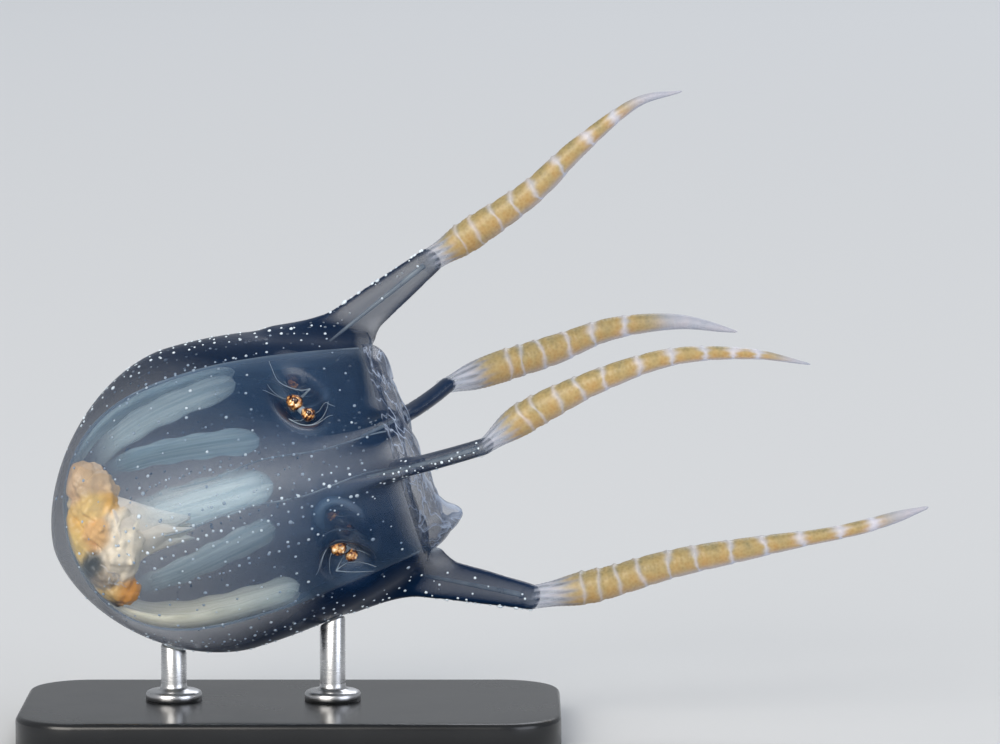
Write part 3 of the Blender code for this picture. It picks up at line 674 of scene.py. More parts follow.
def velarium_wall(turn, share):
    """The skirt: a quarter ellipse in from the margin, with folds that grow towards the edge.

    It is longest underneath, where one flap runs out to a point.
    """
    fold = 0.10 * np.sin(13 * turn + 0.8 * np.sin(3 * turn)) + 0.05 * np.sin(29 * turn + 1.3)
    pointed = np.clip(1 - np.abs(turn - 2.75) / 0.33, 0, 1) ** 1.3
    flap = 0.82 - 0.2 * np.cos(turn) + 0.06 * np.sin(5 * turn) + 0.05 * np.sin(9 * turn) + 0.62 * pointed
    drawn = VELARIUM_DRAW_IN * (1 - 0.6 * pointed) * (1 - np.cos(share * np.pi / 2) ** 0.8)
    radius = hollow_radius(BELL_DEPTH, turn) + 0.16 - drawn + fold * share**1.2
    return at_turn(BELL_DEPTH - 0.25 + VELARIUM_LENGTH * np.sin(share * np.pi / 2) * flap, radius, turn)


turn, share = np.meshgrid(circle(VELARIUM_SIDES), np.linspace(0, 1, 20))
outer_face = velarium_wall(turn, share)
inner_face = outer_face[::-1].copy()
swell = VELARIUM_THICK * (1 + 1.2 * share[::-1, :, None] ** 6)
inward = at_turn(0, -1, turn[::-1])
points = np.concatenate([outer_face, inner_face + inward * swell])
shares = np.concatenate([share, share[::-1]])
turns = np.concatenate([turn, turn[::-1]])
lie_along = np.stack([4.4 * np.cos(turns), 4.4 * np.sin(turns), 5 * shares + np.sin(3 * turns)], axis=-1)
faces = grid_quads(len(points) + 1, VELARIUM_SIDES) % (len(points) * VELARIUM_SIDES)

# Muscle sheet over a film of jelly: nearly clear, with fine milky strands and a milky free edge.
veil, tree = new_material("velarium_muscle_sheet")
fibres = noise(tree, 1.5, attribute(tree, "lie", "Vector"), Detail=2.0)
from_strand = calc(tree, "ABSOLUTE", calc(tree, "SUBTRACT", fibres, 0.5))
milk = calc(tree, "MAXIMUM", ranged(tree, from_strand, 1.0, 0.0, 0.0, 0.035), attribute(tree, "edge"))
film = ranged(tree, facing(tree, 0.4), 0.16, 0.62)
end_material(tree, {"Base Color": between(tree, milk, "22304A", "A3B1C8"),
                    "Alpha": calc(tree, "MULTIPLY_ADD", milk, 0.32, film, clamp=True), "Roughness": 0.35,
                    "IOR": 1.36, "Coat Weight": 0.3, "Coat Roughness": 0.15}, lamps_keep=(1, 1, 1))
make_piece("velarium_skirt", points, faces, veil, "velarium", {"edge": shares**5, "lie": lie_along}, ["velarium"])

# ---------------------------------------------------------------- septa, canals and nerve strands
# A thin milky septum runs down the hollow's wall below each corner, between the two gonads of its pair, and
# on through the pedalium as its canal. Fine strands branch from each eye pit over the lining.

TUBE_REFERENCE = (0.13, 0.31, 0.94)     # no tube here runs this way


def capped(rows, columns):
    """Faces of a grid whose columns run round and meet, closed by one face at each end."""
    return grid_quads(rows, columns).tolist() + [list(range(columns))[::-1],
                                                 list(range((rows - 1) * columns, rows * columns))]


def tube(path, radii, sides=8):
    """A round tube on a path: each ring stands across the path's direction. Ends are closed."""
    path = np.asarray(path, dtype=float)
    radii = np.broadcast_to(radii, len(path))
    forward = unit(np.gradient(path, axis=0))
    first = unit(np.cross(forward, TUBE_REFERENCE))
    second = np.cross(forward, first)
    angle = circle(sides)[None, :, None]
    rings = path[:, None] + radii[:, None, None] * (np.cos(angle) * first[:, None]
                                                     + np.sin(angle) * second[:, None])
    return rings.reshape(-1, 3), capped(len(path), sides)


def joined(parts):
    """Several (points, faces) as one."""
    points, faces, start = [], [], 0
    for some_points, some_faces in parts:
        points.append(some_points)
        faces += [[start + i for i in face] for face in some_faces]
        start += len(some_points)
    return np.concatenate(points), faces


strands = []
for corner, route in enumerate(ARMS.values()):
    depths = np.linspace(4.6, 13.6, 60)
    waver = corner_turn(corner) + 0.02 * np.sin(depths * 1.3 + corner)
    strands.append(tube(at_turn(depths, hollow_radius(depths, waver) - 0.02, waver), 0.034))
    canal = blade_path(corner, route[0], 40)[8:-2]
    strands.append(tube(canal, np.interp(np.arange(30), (0, 4, 29), (0.04, 0.07, 0.12))))
for face in range(4):
    middle = corner_turn(face + 0.5)
    for start_side in (-1, 1):
        for _ in range(3):
            share = np.linspace(0, 1, 14)
            length = draw.uniform(0.8, 1.6)
            heading = draw.uniform(-0.9, 0.9) + (0 if start_side < 0 else np.pi)
            curl = draw.uniform(-0.7, 0.7)
            down = NICHE_DEPTH_AT + 0.25 * start_side * -1 - length * share * np.cos(heading + curl * share)
            turns = middle + (0.35 * start_side + length * share * np.sin(heading + curl * share)) / EYE_RADIUS
            seat = at_turn(down, section_share(down, turns) * outer_wall(down), turns)
            seat = settle(skin_field, seat, 6)
            strands.append(tube(seat, 0.026 * (1 - 0.75 * share), 6))

# Mesenteric tissue: thin milky threads in the clear jelly.
thread, tree = new_material("milky_septum_tissue")
density = noise(tree, 0.6)
end_material(tree, {"Base Color": between(tree, density, "5C7186", "B9C8D4"),
                    "Alpha": ranged(tree, density, 0.35, 0.8), "Roughness": 0.35})
make_piece("septa_and_strands", *joined(strands), thread, "velarium")

# ---------------------------------------------------------------- gonads
# Eight leaf-shaped gonads hang on the hollow's wall, a pair beside each septum, from the stomach to two
# thirds of the way down. Each is a soft folded sheet of eggs or sperm, finely lined along its length.

GONAD_STARTS = {"upper": 1.5, "near": 2.5, "lower": 1.5, "far": 2.3}
GONAD_END = 8.7
GONAD_SPREADS = {                       # degrees from the septum, at the start and the end
    "a": dict.fromkeys(("upper", "near", "lower", "far"), (14, 11)),
    "b": {"upper": (30, 15), "near": (38, 14), "lower": (14, 11), "far": (38, 14)}}
FADE_FROM = {"a": {"upper": 0.0, "near": 0.14, "lower": -0.1, "far": 0.05},
             "b": {"upper": 0.14, "near": 0.05, "lower": 0.0, "far": 0.05}}
GONAD_CLOSING = 0.7                     # how soon the spread changes along a leaf
GONAD_WIDTH = 1.42
GONAD_THICK = 0.46
GONAD_CLEAR = 0.05
RIPENESS = {"upper": 0.15, "near": 0.2, "lower": 0.9, "far": 0.1}
FULLNESS = {"a": {"upper": 1.0, "near": 0.38, "lower": 1.0, "far": 0.6},    # how solid each leaf is
            "b": {"upper": 0.5, "near": 0.66, "lower": 0.8, "far": 1.0}}

# Packed germ cells in thin tissue: teal grey and blue white in fine lines, ivory where it is ripest. The
# middle is nearly opaque, and it clears towards its edges and its free end.
GERM_LINE = 0.07                        # mm between the lines
leaf, tree = new_material("gonad_germ_tissue")
lie = add(tree, "ShaderNodeCombineXYZ", {"X": attribute(tree, "along"), "Y": attribute(tree, "across")})
stretch = add(tree, "ShaderNodeMapping", {"Vector": lie.outputs[0], "Scale": (0.35, 1 / GERM_LINE, 1.0)})
lines = noise(tree, 2.0, stretch.outputs[0], Detail=4.0)
contrast = ranged(tree, lines, 0.0, 1.0, 0.30, 0.70)
blue = between(tree, contrast, "8DB0C2", "CFE3EC")
ivory = between(tree, contrast, "EDE6CE", "FFFCEC")
end_material(tree, {
    "Base Color": between(tree, attribute(tree, "ripeness"), blue, ivory),
    "Alpha": calc(tree, "MULTIPLY", attribute(tree, "body"), calc(tree, "MULTIPLY_ADD", contrast, 0.10, 0.90)),
    "Normal": bumped(tree, lines, 0.4, 0.04), "Roughness": 0.4, "Sheen Weight": 0.3, "Sheen Roughness": 0.4},
    lamps_keep=(0.9, 0.92, 0.93))

LEAF_STEPS, LEAF_SIDES = 64, 32
share, angle = np.meshgrid(np.linspace(0, 1, LEAF_STEPS), circle(LEAF_SIDES), indexing="ij")
for corner, arm in enumerate(ARMS):
    for sign, side_name in ((-1, "a"), (1, "b")):
        start = GONAD_STARTS[arm]
        depth = start + (GONAD_END - start) * share
        root_spread, end_spread = np.radians(GONAD_SPREADS[side_name][arm])
        spread = root_spread + (end_spread - root_spread) * rise(depth, 2.0, 8.6) ** GONAD_CLOSING
        middle = corner_turn(corner) + sign * spread
        growth = np.sqrt(1 - (1 - np.minimum(share / 0.6, 1)) ** 2)
        ending = np.sqrt(np.maximum(1 - (np.maximum(share - 0.88, 0) / 0.12) ** 2, 0.0004))
        half_width = GONAD_WIDTH / 2 * (0.3 + 0.7 * growth) * ending
        half_thick = GONAD_THICK / 2 * (0.5 + 0.5 * growth) * ending
        ruffle = 0.05 * np.sin(share * 31 + corner * 2 + sign) * np.cos(angle) * ending
        radius = np.maximum(hollow_radius(depth, middle) - GONAD_THICK / 2, 0.8)
        aside = half_width * np.cos(angle) + ruffle
        turns = middle + aside / radius
        wall = hollow_radius(depth, turns) - GONAD_THICK / 2 - GONAD_CLEAR
        points = at_turn(depth, wall + half_thick * np.sin(angle), turns)
        fade_start = FADE_FROM[side_name][arm]
        fade_in, end_fade = rise(share, fade_start, fade_start + 0.2), 1 - 0.45 * rise(share, 0.8, 1.0)
        body = (1 - 0.5 * np.abs(np.cos(angle)) ** 2) * fade_in * end_fade * FULLNESS[side_name][arm]
        make_piece(f"gonad_leaf_{arm}_{side_name}", points, capped(LEAF_STEPS, LEAF_SIDES), leaf, "gonad",
                   {"along": depth, "across": aside, "body": body,
                    "ripeness": RIPENESS[arm] * (1 - 0.8 * share**2)}, [f"gonad_{arm}_{side_name}"])

# ---------------------------------------------------------------- stomach
# The stomach fills the top of the hollow: a lumpy bag of food and digestive tissue, ochre, peach and cream,
# with a dark half-digested meal on its lower side. Silvery gastric filaments lie over the dark part.

# depth, side, up, radius in mm, and the colour of that lump
LUMPS = (
    (1.95, -0.50, 2.10, 0.92, "F2CC9C"), (1.60, -0.35, 2.60, 0.42, "E2AC72"), (2.50, -0.50, 1.72, 0.58, "F9D8AE"),
    (1.95, -1.20, 1.12, 0.55, "FAD484"), (2.50, -1.05, 1.02, 0.42, "F8BE54"), (1.10, -0.80, 0.68, 0.60, "FFD06C"),
    (1.00, -0.90, 0.00, 0.62, "FFDA7C"), (1.20, -0.95, -0.50, 0.48, "FFDD8E"), (1.95, -1.62, 0.14, 0.48, "FCC880"),
    (2.65, -0.95, -0.10, 0.95, "FFF3DC"), (3.15, -0.55, -0.15, 0.75, "FBF2E2"), (2.50, -1.05, -0.95, 0.86, "FDF0D8"),
    (1.45, -1.30, -1.00, 0.48, "3F4138"), (1.70, -1.15, -1.50, 0.48, "C9B597"), (1.15, -0.95, -0.92, 0.36, "66755F"),
    (1.95, -0.70, -2.05, 0.58, "FAD480"), (2.38, -0.90, -2.38, 0.48, "F0A43A"), (1.75, -0.80, -2.62, 0.24, "2A261F"),
    (1.60, 0.90, 1.40, 0.90, "E8D2A8"), (1.70, 1.20, 0.00, 1.00, "F0DAA8"), (1.80, 0.90, -1.50, 0.85, "E6CCA0"),
    (2.20, 0.20, 0.20, 1.20, "F8E8C8"), (1.80, -0.20, -1.30, 0.90, "EED6A8"),
)


def lump_distances(points):
    """Distance outside each lump's ball, one column for each."""
    centres = np.array([lump[:3] for lump in LUMPS])
    sizes = np.array([lump[3] for lump in LUMPS])
    return np.linalg.norm(points[..., None, :] - centres, axis=-1) - sizes


def stomach_field(points):
    """Balls joined by -k log of the sum of exp(-d / k), with two sizes of knobs, inside the hollow's wall."""
    softness = 0.21
    together = 0.1 - softness * np.log(np.exp(-lump_distances(points) / softness).sum(axis=-1))
    bent = points + 0.25 * np.sin(points[..., [1, 2, 0]] * 2.3 + (0.4, 1.9, 3.1))
    knobs = 0.12 * np.prod(np.sin(bent * 4.4 + (0.3, 1.1, 2.0)), axis=-1)
    grains = 0.055 * np.prod(np.sin(bent * 10), axis=-1)
    return -soft_min(-together - knobs - grains, -hollow_field(points) - 0.08, 0.15)


points, quads = surface_of(stomach_field, (0.5, -3.2, -3.4), (4.2, 3.2, 3.4), 0.075)
weights = np.exp(-np.maximum(lump_distances(points), -0.1) / 0.085)
weights /= weights.sum(axis=-1, keepdims=True)
tints = weights @ np.array([linear(lump[4]) for lump in LUMPS])

# Digestive tissue and food under a thin wet wall: opaque, mottled at a third of a millimetre.
gut, tree = new_material("stomach_food_mass")
mottle = noise(tree, 0.32, Detail=5.0, Roughness=0.6)
colour = add(tree, "ShaderNodeVectorMath", {
    0: attribute(tree, "tint", "Color"), "Scale": ranged(tree, mottle, 0.88, 1.12, 0.3, 0.7)}, operation="SCALE")
end_material(tree, {"Base Color": colour.outputs[0], "Normal": bumped(tree, mottle, 0.6, 0.07), "Roughness": 0.38,
                    "Coat Weight": 0.35, "Coat Roughness": 0.12})
make_piece("stomach_mass", points, quads, gut, "stomach", {"tint": tints}, ["stomach"])

filaments = []
for _ in range(16):
    share = np.linspace(0, 1, 12)
    start = np.array([draw.uniform(1.5, 2.0), -1.4, draw.uniform(-1.9, -0.9)])
    sweep = np.array([draw.uniform(0.1, 0.5), draw.uniform(-0.1, 0.1), draw.uniform(-0.5, -0.15)])
    route = start + share[:, None] * sweep
    route[:, 2] += 0.05 * np.sin(share * 9 + draw.uniform(0, 6))
    route = settle(stomach_field, route, 8) + np.array([0, -0.02, 0])
    filaments.append(tube(route, 0.022 * (1 - 0.6 * share), 6))
silver, tree = new_material("gastric_filament_tissue")
end_material(tree, {"Base Color": between(tree, noise(tree, 0.2), "C9BFB4", "F6F2EC"), "Roughness": 0.18,
                    "Coat Weight": 0.6})
make_piece("gastric_filaments", *joined(filaments), silver, "manubrium")

# ---------------------------------------------------------------- manubrium
# The mouth tube hangs from the stomach's floor and droops. It is thin milky tissue that flares into four
# frilled lips.

MANUBRIUM_START = 2.7
MANUBRIUM_LENGTH = 2.45
MANUBRIUM_DROOP = 0.72
MANUBRIUM_SIDES = 140


def mouth_tube(share, angle, inset):
    """A cone from 1.5 to 0.25 that flares a little with share^5, four lips, and frills that grow with share^4."""
    lips = 1 + 0.22 * share**2 * np.cos(4 * (angle - CORNER_TURN))
    frills = 0.08 * share**4 * np.sin(11 * angle + 1) + 0.03 * share**4 * np.sin(29 * angle)
    wrinkles = 0.03 * np.sin(5 * angle + 5 * share) + 0.01 * np.sin(12 * angle - 6 * share)
    radius = (1.5 - 1.25 * share**0.95 + 0.12 * share**5) * lips * (1 + frills + wrinkles) - inset
    ragged = 0.10 * share**3 * (np.sin(5 * angle) + 0.6 * np.sin(11 * angle + 2))
    reach = MANUBRIUM_LENGTH * share * (1 + 0.10 * share * np.cos(4 * (angle - CORNER_TURN))) + ragged
    points = at_turn(MANUBRIUM_START + reach, radius, angle)
    points[..., 2] -= MANUBRIUM_DROOP * share**1.3 + 0.15
    points[..., 1] -= 0.35 * (1 - share)
    return points


share, angle = np.meshgrid(np.linspace(0, 1, 30), circle(MANUBRIUM_SIDES), indexing="ij")
wall = np.concatenate([mouth_tube(share, angle, 0.0), mouth_tube(share[::-1], angle[::-1], 0.06)])
loop = grid_quads(len(wall) + 1, MANUBRIUM_SIDES) % (len(wall) * MANUBRIUM_SIDES)

# Thin lip tissue over jelly: cream white, wet, thinner and bluer at the frills.
mouth, tree = new_material("manubrium_lip_tissue")
folds, reach = noise(tree, 0.4, Detail=4.0), attribute(tree, "reach")
cream = between(tree, folds, "EADCC8", "FFF8EA")
end_material(tree, {
    "Base Color": between(tree, reach, cream, "C4CCD0"), "Alpha": ranged(tree, reach, 0.96, 0.74),
    "Normal": bumped(tree, folds, 0.5, 0.05), "Roughness": 0.4, "Coat Weight": 0.2, "Coat Roughness": 0.15,
    "Sheen Weight": 0.3, "Sheen Roughness": 0.4}, lamps_keep=(0.8, 0.8, 0.78))
make_piece("mouth_lips", wall, loop, mouth, "manubrium",
           {"reach": np.concatenate([share, share[::-1]]) ** 2}, ["manubrium"])

# ---------------------------------------------------------------- rhopalia
# In each pit hangs a club of milky tissue with two lens eyes, one at each end. An eye is a cup of copper
# brown pigment round a clear hard lens, which catches the light.

CLUB_HALF_LENGTH = 0.66
CLUB_RADIUS = 0.15
CLUB_SUNK = 0.12                        # how far the club lies behind its eyes
EYE_SPREAD = 0.41                       # club's middle to each eye
EYE_SIZE = (0.33, 0.27)                 # radius of the one at each end
LENS_SHARE = 0.50                       # a lens's radius over its eye's
CUP_RINGS, CUP_SIDES = 24, 34


def ramp(tree, value, *stops):
    """A socket with the colour at a value between the stops, each a position and an sRGB hex."""
    made = add(tree, "ShaderNodeValToRGB", {"Fac": value})
    ends = made.color_ramp.elements
    for end, (position, code) in zip(ends, (stops[0], stops[-1])):
        end.position, end.color = position, linear(code)
    for position, code in stops[1:-1]:
        ends.new(position).color = linear(code)
    return made.outputs["Color"]


# Pigment cells like hammered copper: near black in the creases, copper brown, and gold where they are full. Towards
# the outline the colour darkens: painted shade.
pigment, tree = new_material("copper_eye_pigment")
specks = noise(tree, 0.12, Detail=3.0)
wobble = calc(tree, "MULTIPLY_ADD", specks, 2.0, attribute(tree, "cup"))
# Darker where the eye looks along the surface: painted shade at the outline.
pigment_and_rim_shade = calc(tree, "MULTIPLY_ADD", facing(tree, 0.6), -0.5, wobble, clamp=True)
copper = ramp(tree, pigment_and_rim_shade, (0.12, "1C0D08"), (0.34, "6B3416"), (0.55, "B5763A"), (0.75, "E6B066"),
              (1.0, "FFEFD2"))
end_material(tree, {"Base Color": copper, "Roughness": 0.25, "Normal": bumped(tree, specks, 0.6, 0.04),
                    "Metallic": 0.35, "Coat Weight": 1.0, "Coat Roughness": 0.03})

# Crystallin, as hard and clear as glass: it shows as a dark disc with a hard white glint.
crystal, tree = new_material("eye_lens_crystallin")
end_material(tree, {"Base Color": between(tree, noise(tree, 0.15), "160B07", "4A2412"), "Roughness": 0.03,
                    "IOR": 1.6, "Coat Weight": 1.0, "Coat Roughness": 0.02})

for face, arm in enumerate(ARMS):
    turn = corner_turn(face + 0.5)
    out = at_turn(0, 1, turn)
    sideways = np.cross(out, (1.0, 0, 0))
    sideways *= -np.sign(sideways[2])
    lengthways = math.cos(NICHE_SLANT) * np.array([1.0, 0, 0]) + math.sin(NICHE_SLANT) * sideways
    middle = at_turn(NICHE_DEPTH_AT, EYE_RADIUS, turn)
    share = np.linspace(-0.97, 0.97, 24)
    club = tube(middle + share[:, None] * lengthways * CLUB_HALF_LENGTH - out * CLUB_SUNK,
                CLUB_RADIUS * np.sqrt(1 - share**2) * (1 + 0.12 * share), 16)
    make_piece(f"eye_club_{arm}", *club, thread, "velarium", replaced=[f"rhopalium_{arm}"])
    centres = middle + np.array([[-EYE_SPREAD], [EYE_SPREAD]]) * lengthways + out * 0.02
    cups = beads(centres, np.tile(out, (2, 1)), np.array(EYE_SIZE), 1.0, CUP_RINGS, CUP_SIDES)
    middles, sizes = (np.repeat(values, CUP_RINGS * CUP_SIDES, axis=0) for values in (centres, EYE_SIZE))
    sizes = sizes[:, None]
    from_middle = (cups[0] - middles) / sizes
    lumpy = (0.16 * np.prod(np.sin(from_middle * 3.1 + (0.5, 1.3, 2.1)), axis=-1)
             + 0.10 * np.prod(np.sin(from_middle * 7.3 + (1, 2, face)), axis=-1))
    cups = (middles + from_middle * sizes * (1 + lumpy[:, None]), cups[1])
    rim = np.exp(-((np.linalg.norm(from_middle + 0.15 * lengthways - 0.72 * out, axis=1) - 0.62) / 0.2) ** 2)
    make_piece(f"eye_cups_{arm}", *cups, pigment, "eye", {"cup": 0.35 * rim - 0.48})
    lenses = beads(centres + out * 0.5 * np.array(EYE_SIZE)[:, None] + 0.05 * lengthways,
                   np.tile(out, (2, 1)), np.array(EYE_SIZE) * LENS_SHARE, 1.15, 14, 22)
    make_piece(f"eye_lenses_{arm}", *lenses, crystal, "eye")

# ---------------------------------------------------------------- tentacles
# Each tentacle is one soft carrot-shaped arm, drawn together. Its stinging cells are packed in ochre bands,
# and narrow pale rings part them. The root is clear and milky, and the tip runs out in a thread.

ROOT_OVERLAP = 0.5                      # how far the arm starts inside its pedalium
ROOT_OVAL = (0.47, 0.29)                # half axes of its start, in and across the plane of the blade
ROOT_ROUND_AT = 0.13                    # share of the length where it has become round
FINE_RING = 0.17                        # mm between the finest creases
RING_HALF = (0.065, 0.30)               # a pale ring's half width, at the root and at the tip

# Radius in mm at these shares of each arm's length
RADIUS_AT = (0, 0.05, 0.09, 0.16, 0.23, 0.30, 0.37, 0.44, 0.51, 0.58, 0.65, 0.72, 0.79, 0.86, 0.93, 1)
RADII = {
    "upper": (0.44, 0.46, 0.50, 0.64, 0.62, 0.57, 0.53, 0.49, 0.46, 0.41, 0.36, 0.30, 0.25, 0.19, 0.13, 0.03),
    "near": (0.30, 0.40, 0.48, 0.62, 0.60, 0.54, 0.47, 0.44, 0.39, 0.35, 0.31, 0.27, 0.23, 0.18, 0.11, 0.03),
    "lower": (0.46, 0.48, 0.54, 0.68, 0.62, 0.60, 0.56, 0.53, 0.48, 0.42, 0.35, 0.28, 0.27, 0.27, 0.22, 0.05),
    "far": (0.34, 0.44, 0.51, 0.61, 0.65, 0.63, 0.62, 0.57, 0.50, 0.46, 0.42, 0.37, 0.32, 0.25, 0.17, 0.04),
}

# Where the pale rings lie, as shares of each arm's length
RINGS = {
    "upper": (0.154, 0.215, 0.283, 0.357, 0.437, 0.540, 0.662, 0.772),
    "near": (0.178, 0.219, 0.279, 0.346, 0.413, 0.514, 0.613, 0.700, 0.780, 0.850),
    "lower": (0.153, 0.190, 0.240, 0.293, 0.363, 0.431, 0.511, 0.598, 0.685, 0.777, 0.858),
    "far": (0.246, 0.289, 0.354, 0.443, 0.534, 0.643),
}
ROOT_CLEAR = {"upper": 0.10, "near": 0.12, "lower": 0.11, "far": 0.15}
TIP_PALE = {"upper": 0.84, "near": 0.92, "lower": 0.90, "far": 0.76}


def along_curve(route, shares):
    """Points at shares of a Catmull-Rom curve's length, their directions, and the length."""
    route = np.asarray(route, dtype=float)
    padded = np.vstack([2 * route[0] - route[1], route, 2 * route[-1] - route[-2]])
    s = np.linspace(0, 1, 40, endpoint=False)[:, None]
    runs = [0.5 * (2 * p1 + (p2 - p0) * s + (2 * p0 - 5 * p1 + 4 * p2 - p3) * s**2
                   + (3 * p1 - p0 - 3 * p2 + p3) * s**3)
            for p0, p1, p2, p3 in zip(padded, padded[1:], padded[2:], padded[3:])]
    fine = np.vstack(runs + [route[-1:]])
    lengths = np.concatenate([[0], np.cumsum(np.linalg.norm(np.diff(fine, axis=0), axis=1))])
    wanted = np.asarray(shares) * lengths[-1]
    slopes = np.gradient(fine, lengths, axis=0)
    points = np.stack([np.interp(wanted, lengths, fine[:, axis]) for axis in range(3)], axis=1)
    directions = np.stack([np.interp(wanted, lengths, slopes[:, axis]) for axis in range(3)], axis=1)
    return points, unit(directions), lengths[-1]


# Bands of stinging capsules in wet muscle: khaki on the upper side and orange ochre below, mottled and finely
# creased. The rings between them are bluish and pinkish white.
banded, tree = new_material("banded_tentacle_tissue")
place = add(tree, "ShaderNodeTexCoord")
capsules = add(tree, "ShaderNodeTexVoronoi", {"Vector": place.outputs["Object"], "Scale": 1 / (0.13 * MM)})
mottle, clearness = noise(tree, 0.55, Detail=5.0, Roughness=0.6), attribute(tree, "clearness")
warmth = calc(tree, "MULTIPLY_ADD", mottle, 0.9, attribute(tree, "warm"), clamp=True)
ochre = ramp(tree, warmth, (0.1, "6C684A"), (0.5, "947E4E"), (0.95, "A47A3E"))
spotted = between(tree, ranged(tree, capsules.outputs["Distance"], 0.0, 0.4), ochre, "BEAA78")
banding = between(tree, attribute(tree, "pale"), spotted, between(tree, mottle, "9DAEC4", "D9CFD8"))
end_material(tree, {
    "Base Color": between(tree, clearness, banding, "5E7188"), "Alpha": ranged(tree, clearness, 1.0, 0.12),
    "Normal": bumped(tree, capsules.outputs["Distance"], 0.35, 0.03), "Roughness": 0.5, "Coat Weight": 0.12,
    "Coat Roughness": 0.22})

ALONG_STEPS, AROUND_STEPS = 480, 40
SMOOTHING = 15                          # steps each way that the table of radii is smoothed over
CREASE_HEIGHT = 0.007                   # share of the radius, as are the next two
LIP_HEIGHT = 0.055
WAIST_DEPTH = 0.05
for corner, (arm, route) in enumerate(ARMS.items()):
    inward = np.array(route[0]) - np.array(route[1])
    start = np.array(route[0]) + ROOT_OVERLAP * inward / np.linalg.norm(inward)
    share = np.linspace(0, 1, ALONG_STEPS)
    middle, forward, total = along_curve([start, *route], share)
    window = np.hanning(2 * SMOOTHING + 1) / np.hanning(2 * SMOOTHING + 1).sum()
    radius = np.convolve(np.pad(np.interp(share, RADIUS_AT, RADII[arm]), SMOOTHING, "edge"), window, "valid")
    radius *= np.sqrt(np.clip((1 - share) * total / 0.12, 0.01, 1))
    angle = circle(AROUND_STEPS)        # 0 at the top, pi underneath

    # Pale rings: wedges that stand a little proud, each with its own wavering edge
    rings = np.array(RINGS[arm])
    first, second, third = draw.uniform(0, 2 * np.pi, (3, len(rings)))
    half = (RING_HALF[0] + (RING_HALF[1] - RING_HALF[0]) * rings**2) / total
    turned = angle[:, None]
    waver = (0.07 * np.sin(turned + first) + 0.04 * np.sin(3 * turned + second)) / total
    wedge = 1 + 0.4 * np.cos(turned) + 0.35 * np.sin(2 * turned + third) + 0.25 * np.sin(7 * turned)
    wedge = np.clip(wedge, 0.3, 2)
    offset = share[:, None, None] + waver - rings
    ring = np.clip(((0.3 + 0.62 * rings) * np.exp(-(offset / half / wedge) ** 2)).sum(axis=-1), 0, 1)
    grown = offset * total / 0.07
    points_up = np.clip(np.cos(11 * turned + first), 0, 1) ** 2
    lips = LIP_HEIGHT * (np.exp(-(grown**2)) * (0.5 + 0.5 * np.cos(turned) + 0.6 * points_up)).sum(axis=-1)
    waist = -WAIST_DEPTH * np.exp(-(((grown - 2.6) / 2.2) ** 2)).sum(axis=-1)
    creases = CREASE_HEIGHT * np.sin(2 * np.pi * share * total / FINE_RING + 4 * np.sin(share * 23))[:, None]
    creases = creases * (0.6 + 0.6 * np.sin(2 * angle + 12 * share[:, None]))
    swell = 1 + waist + lips + creases * (1 - ring)

    # It starts as an oval that lies in the plane of its blade, and becomes round
    outward = at_turn(0, 1, corner_turn(corner))
    width = unit(outward - forward * (forward @ outward)[:, None])
    across_blade = np.cross(forward, width)
    roundness = rise(share, 0, ROOT_ROUND_AT)
    roundness = 3 * roundness**2 - 2 * roundness**3
    along_width = (ROOT_OVAL[0] + (radius - ROOT_OVAL[0]) * roundness)[:, None]
    along_side = (ROOT_OVAL[1] + (radius - ROOT_OVAL[1]) * roundness)[:, None]
    upward = unit(np.array([0, 0, 1.0]) - forward * forward[:, 2:3])
    sideways = np.cross(forward, upward)
    around = (np.cos(angle)[None, :, None] * upward[:, None] + np.sin(angle)[None, :, None] * sideways[:, None])
    in_width = (around * width[:, None]).sum(axis=-1) * along_width
    in_side = (around * across_blade[:, None]).sum(axis=-1) * along_side
    section = in_width[..., None] * width[:, None] + in_side[..., None] * across_blade[:, None]
    section *= np.sqrt(np.clip(share * total / 0.2, 0.01, 1))[:, None, None]
    points = middle[:, None] + section * swell[..., None]

    # Colour: milky streaks at the root, a pale fringe underneath, a clouded tip
    streaks = np.abs(np.cos(5.5 * angle + 0.7 * np.sin(share[:, None] * 40)))
    root = 1 / (1 + np.exp((share[:, None] - ROOT_CLEAR[arm] + 0.03 * streaks - 0.015) / 0.012))
    tip = 1 / (1 + np.exp(-(share - TIP_PALE[arm]) / 0.018))[:, None]
    fringe = 0.6 * np.exp(-(((angle - 2.8) / 0.42) ** 2))[None] * rise(share[:, None], 0.15, 0.45)
    beside = np.exp(-(((np.abs(grown) - 4.5) / 2.5) ** 2)).sum(axis=-1)
    clearness = root * (0.85 - 0.6 * streaks) + 0.25 * tip + np.exp(-((share * total / 0.55) ** 2))[:, None]
    warm = 0.02 - 0.3 * np.cos(angle)[None] + 0.3 * beside * share[:, None]
    make_piece(f"tentacle_arm_{arm}", points, capped(ALONG_STEPS, AROUND_STEPS), banded, "tentacle",
               {"pale": np.clip(ring + root + 0.9 * tip + fringe, 0, 1), "warm": np.clip(warm, -0.4, 0.6),
                "clearness": np.clip(clearness, 0, 1)},
               [f"tentacle_{arm}_{length}" for length in ("root", "middle", "tip")])

# ---------------------------------------------------------------- stand
# A plain plate of black acrylic with eased edges, and two turned steel rods, each in a collar.
# Each rod's top is shaped to the curve of the bell's underside.

# Cast acrylic: dark and satin, with a faint cloudy haze.
acrylic, tree = new_material("black_cast_acrylic")
haze = noise(tree, 4, Detail=6.0)
end_material(tree, {"Base Color": between(tree, haze, "0C0D0F", "1B1D20"),
                    "Roughness": ranged(tree, haze, 0.16, 0.34), "IOR": 1.49})

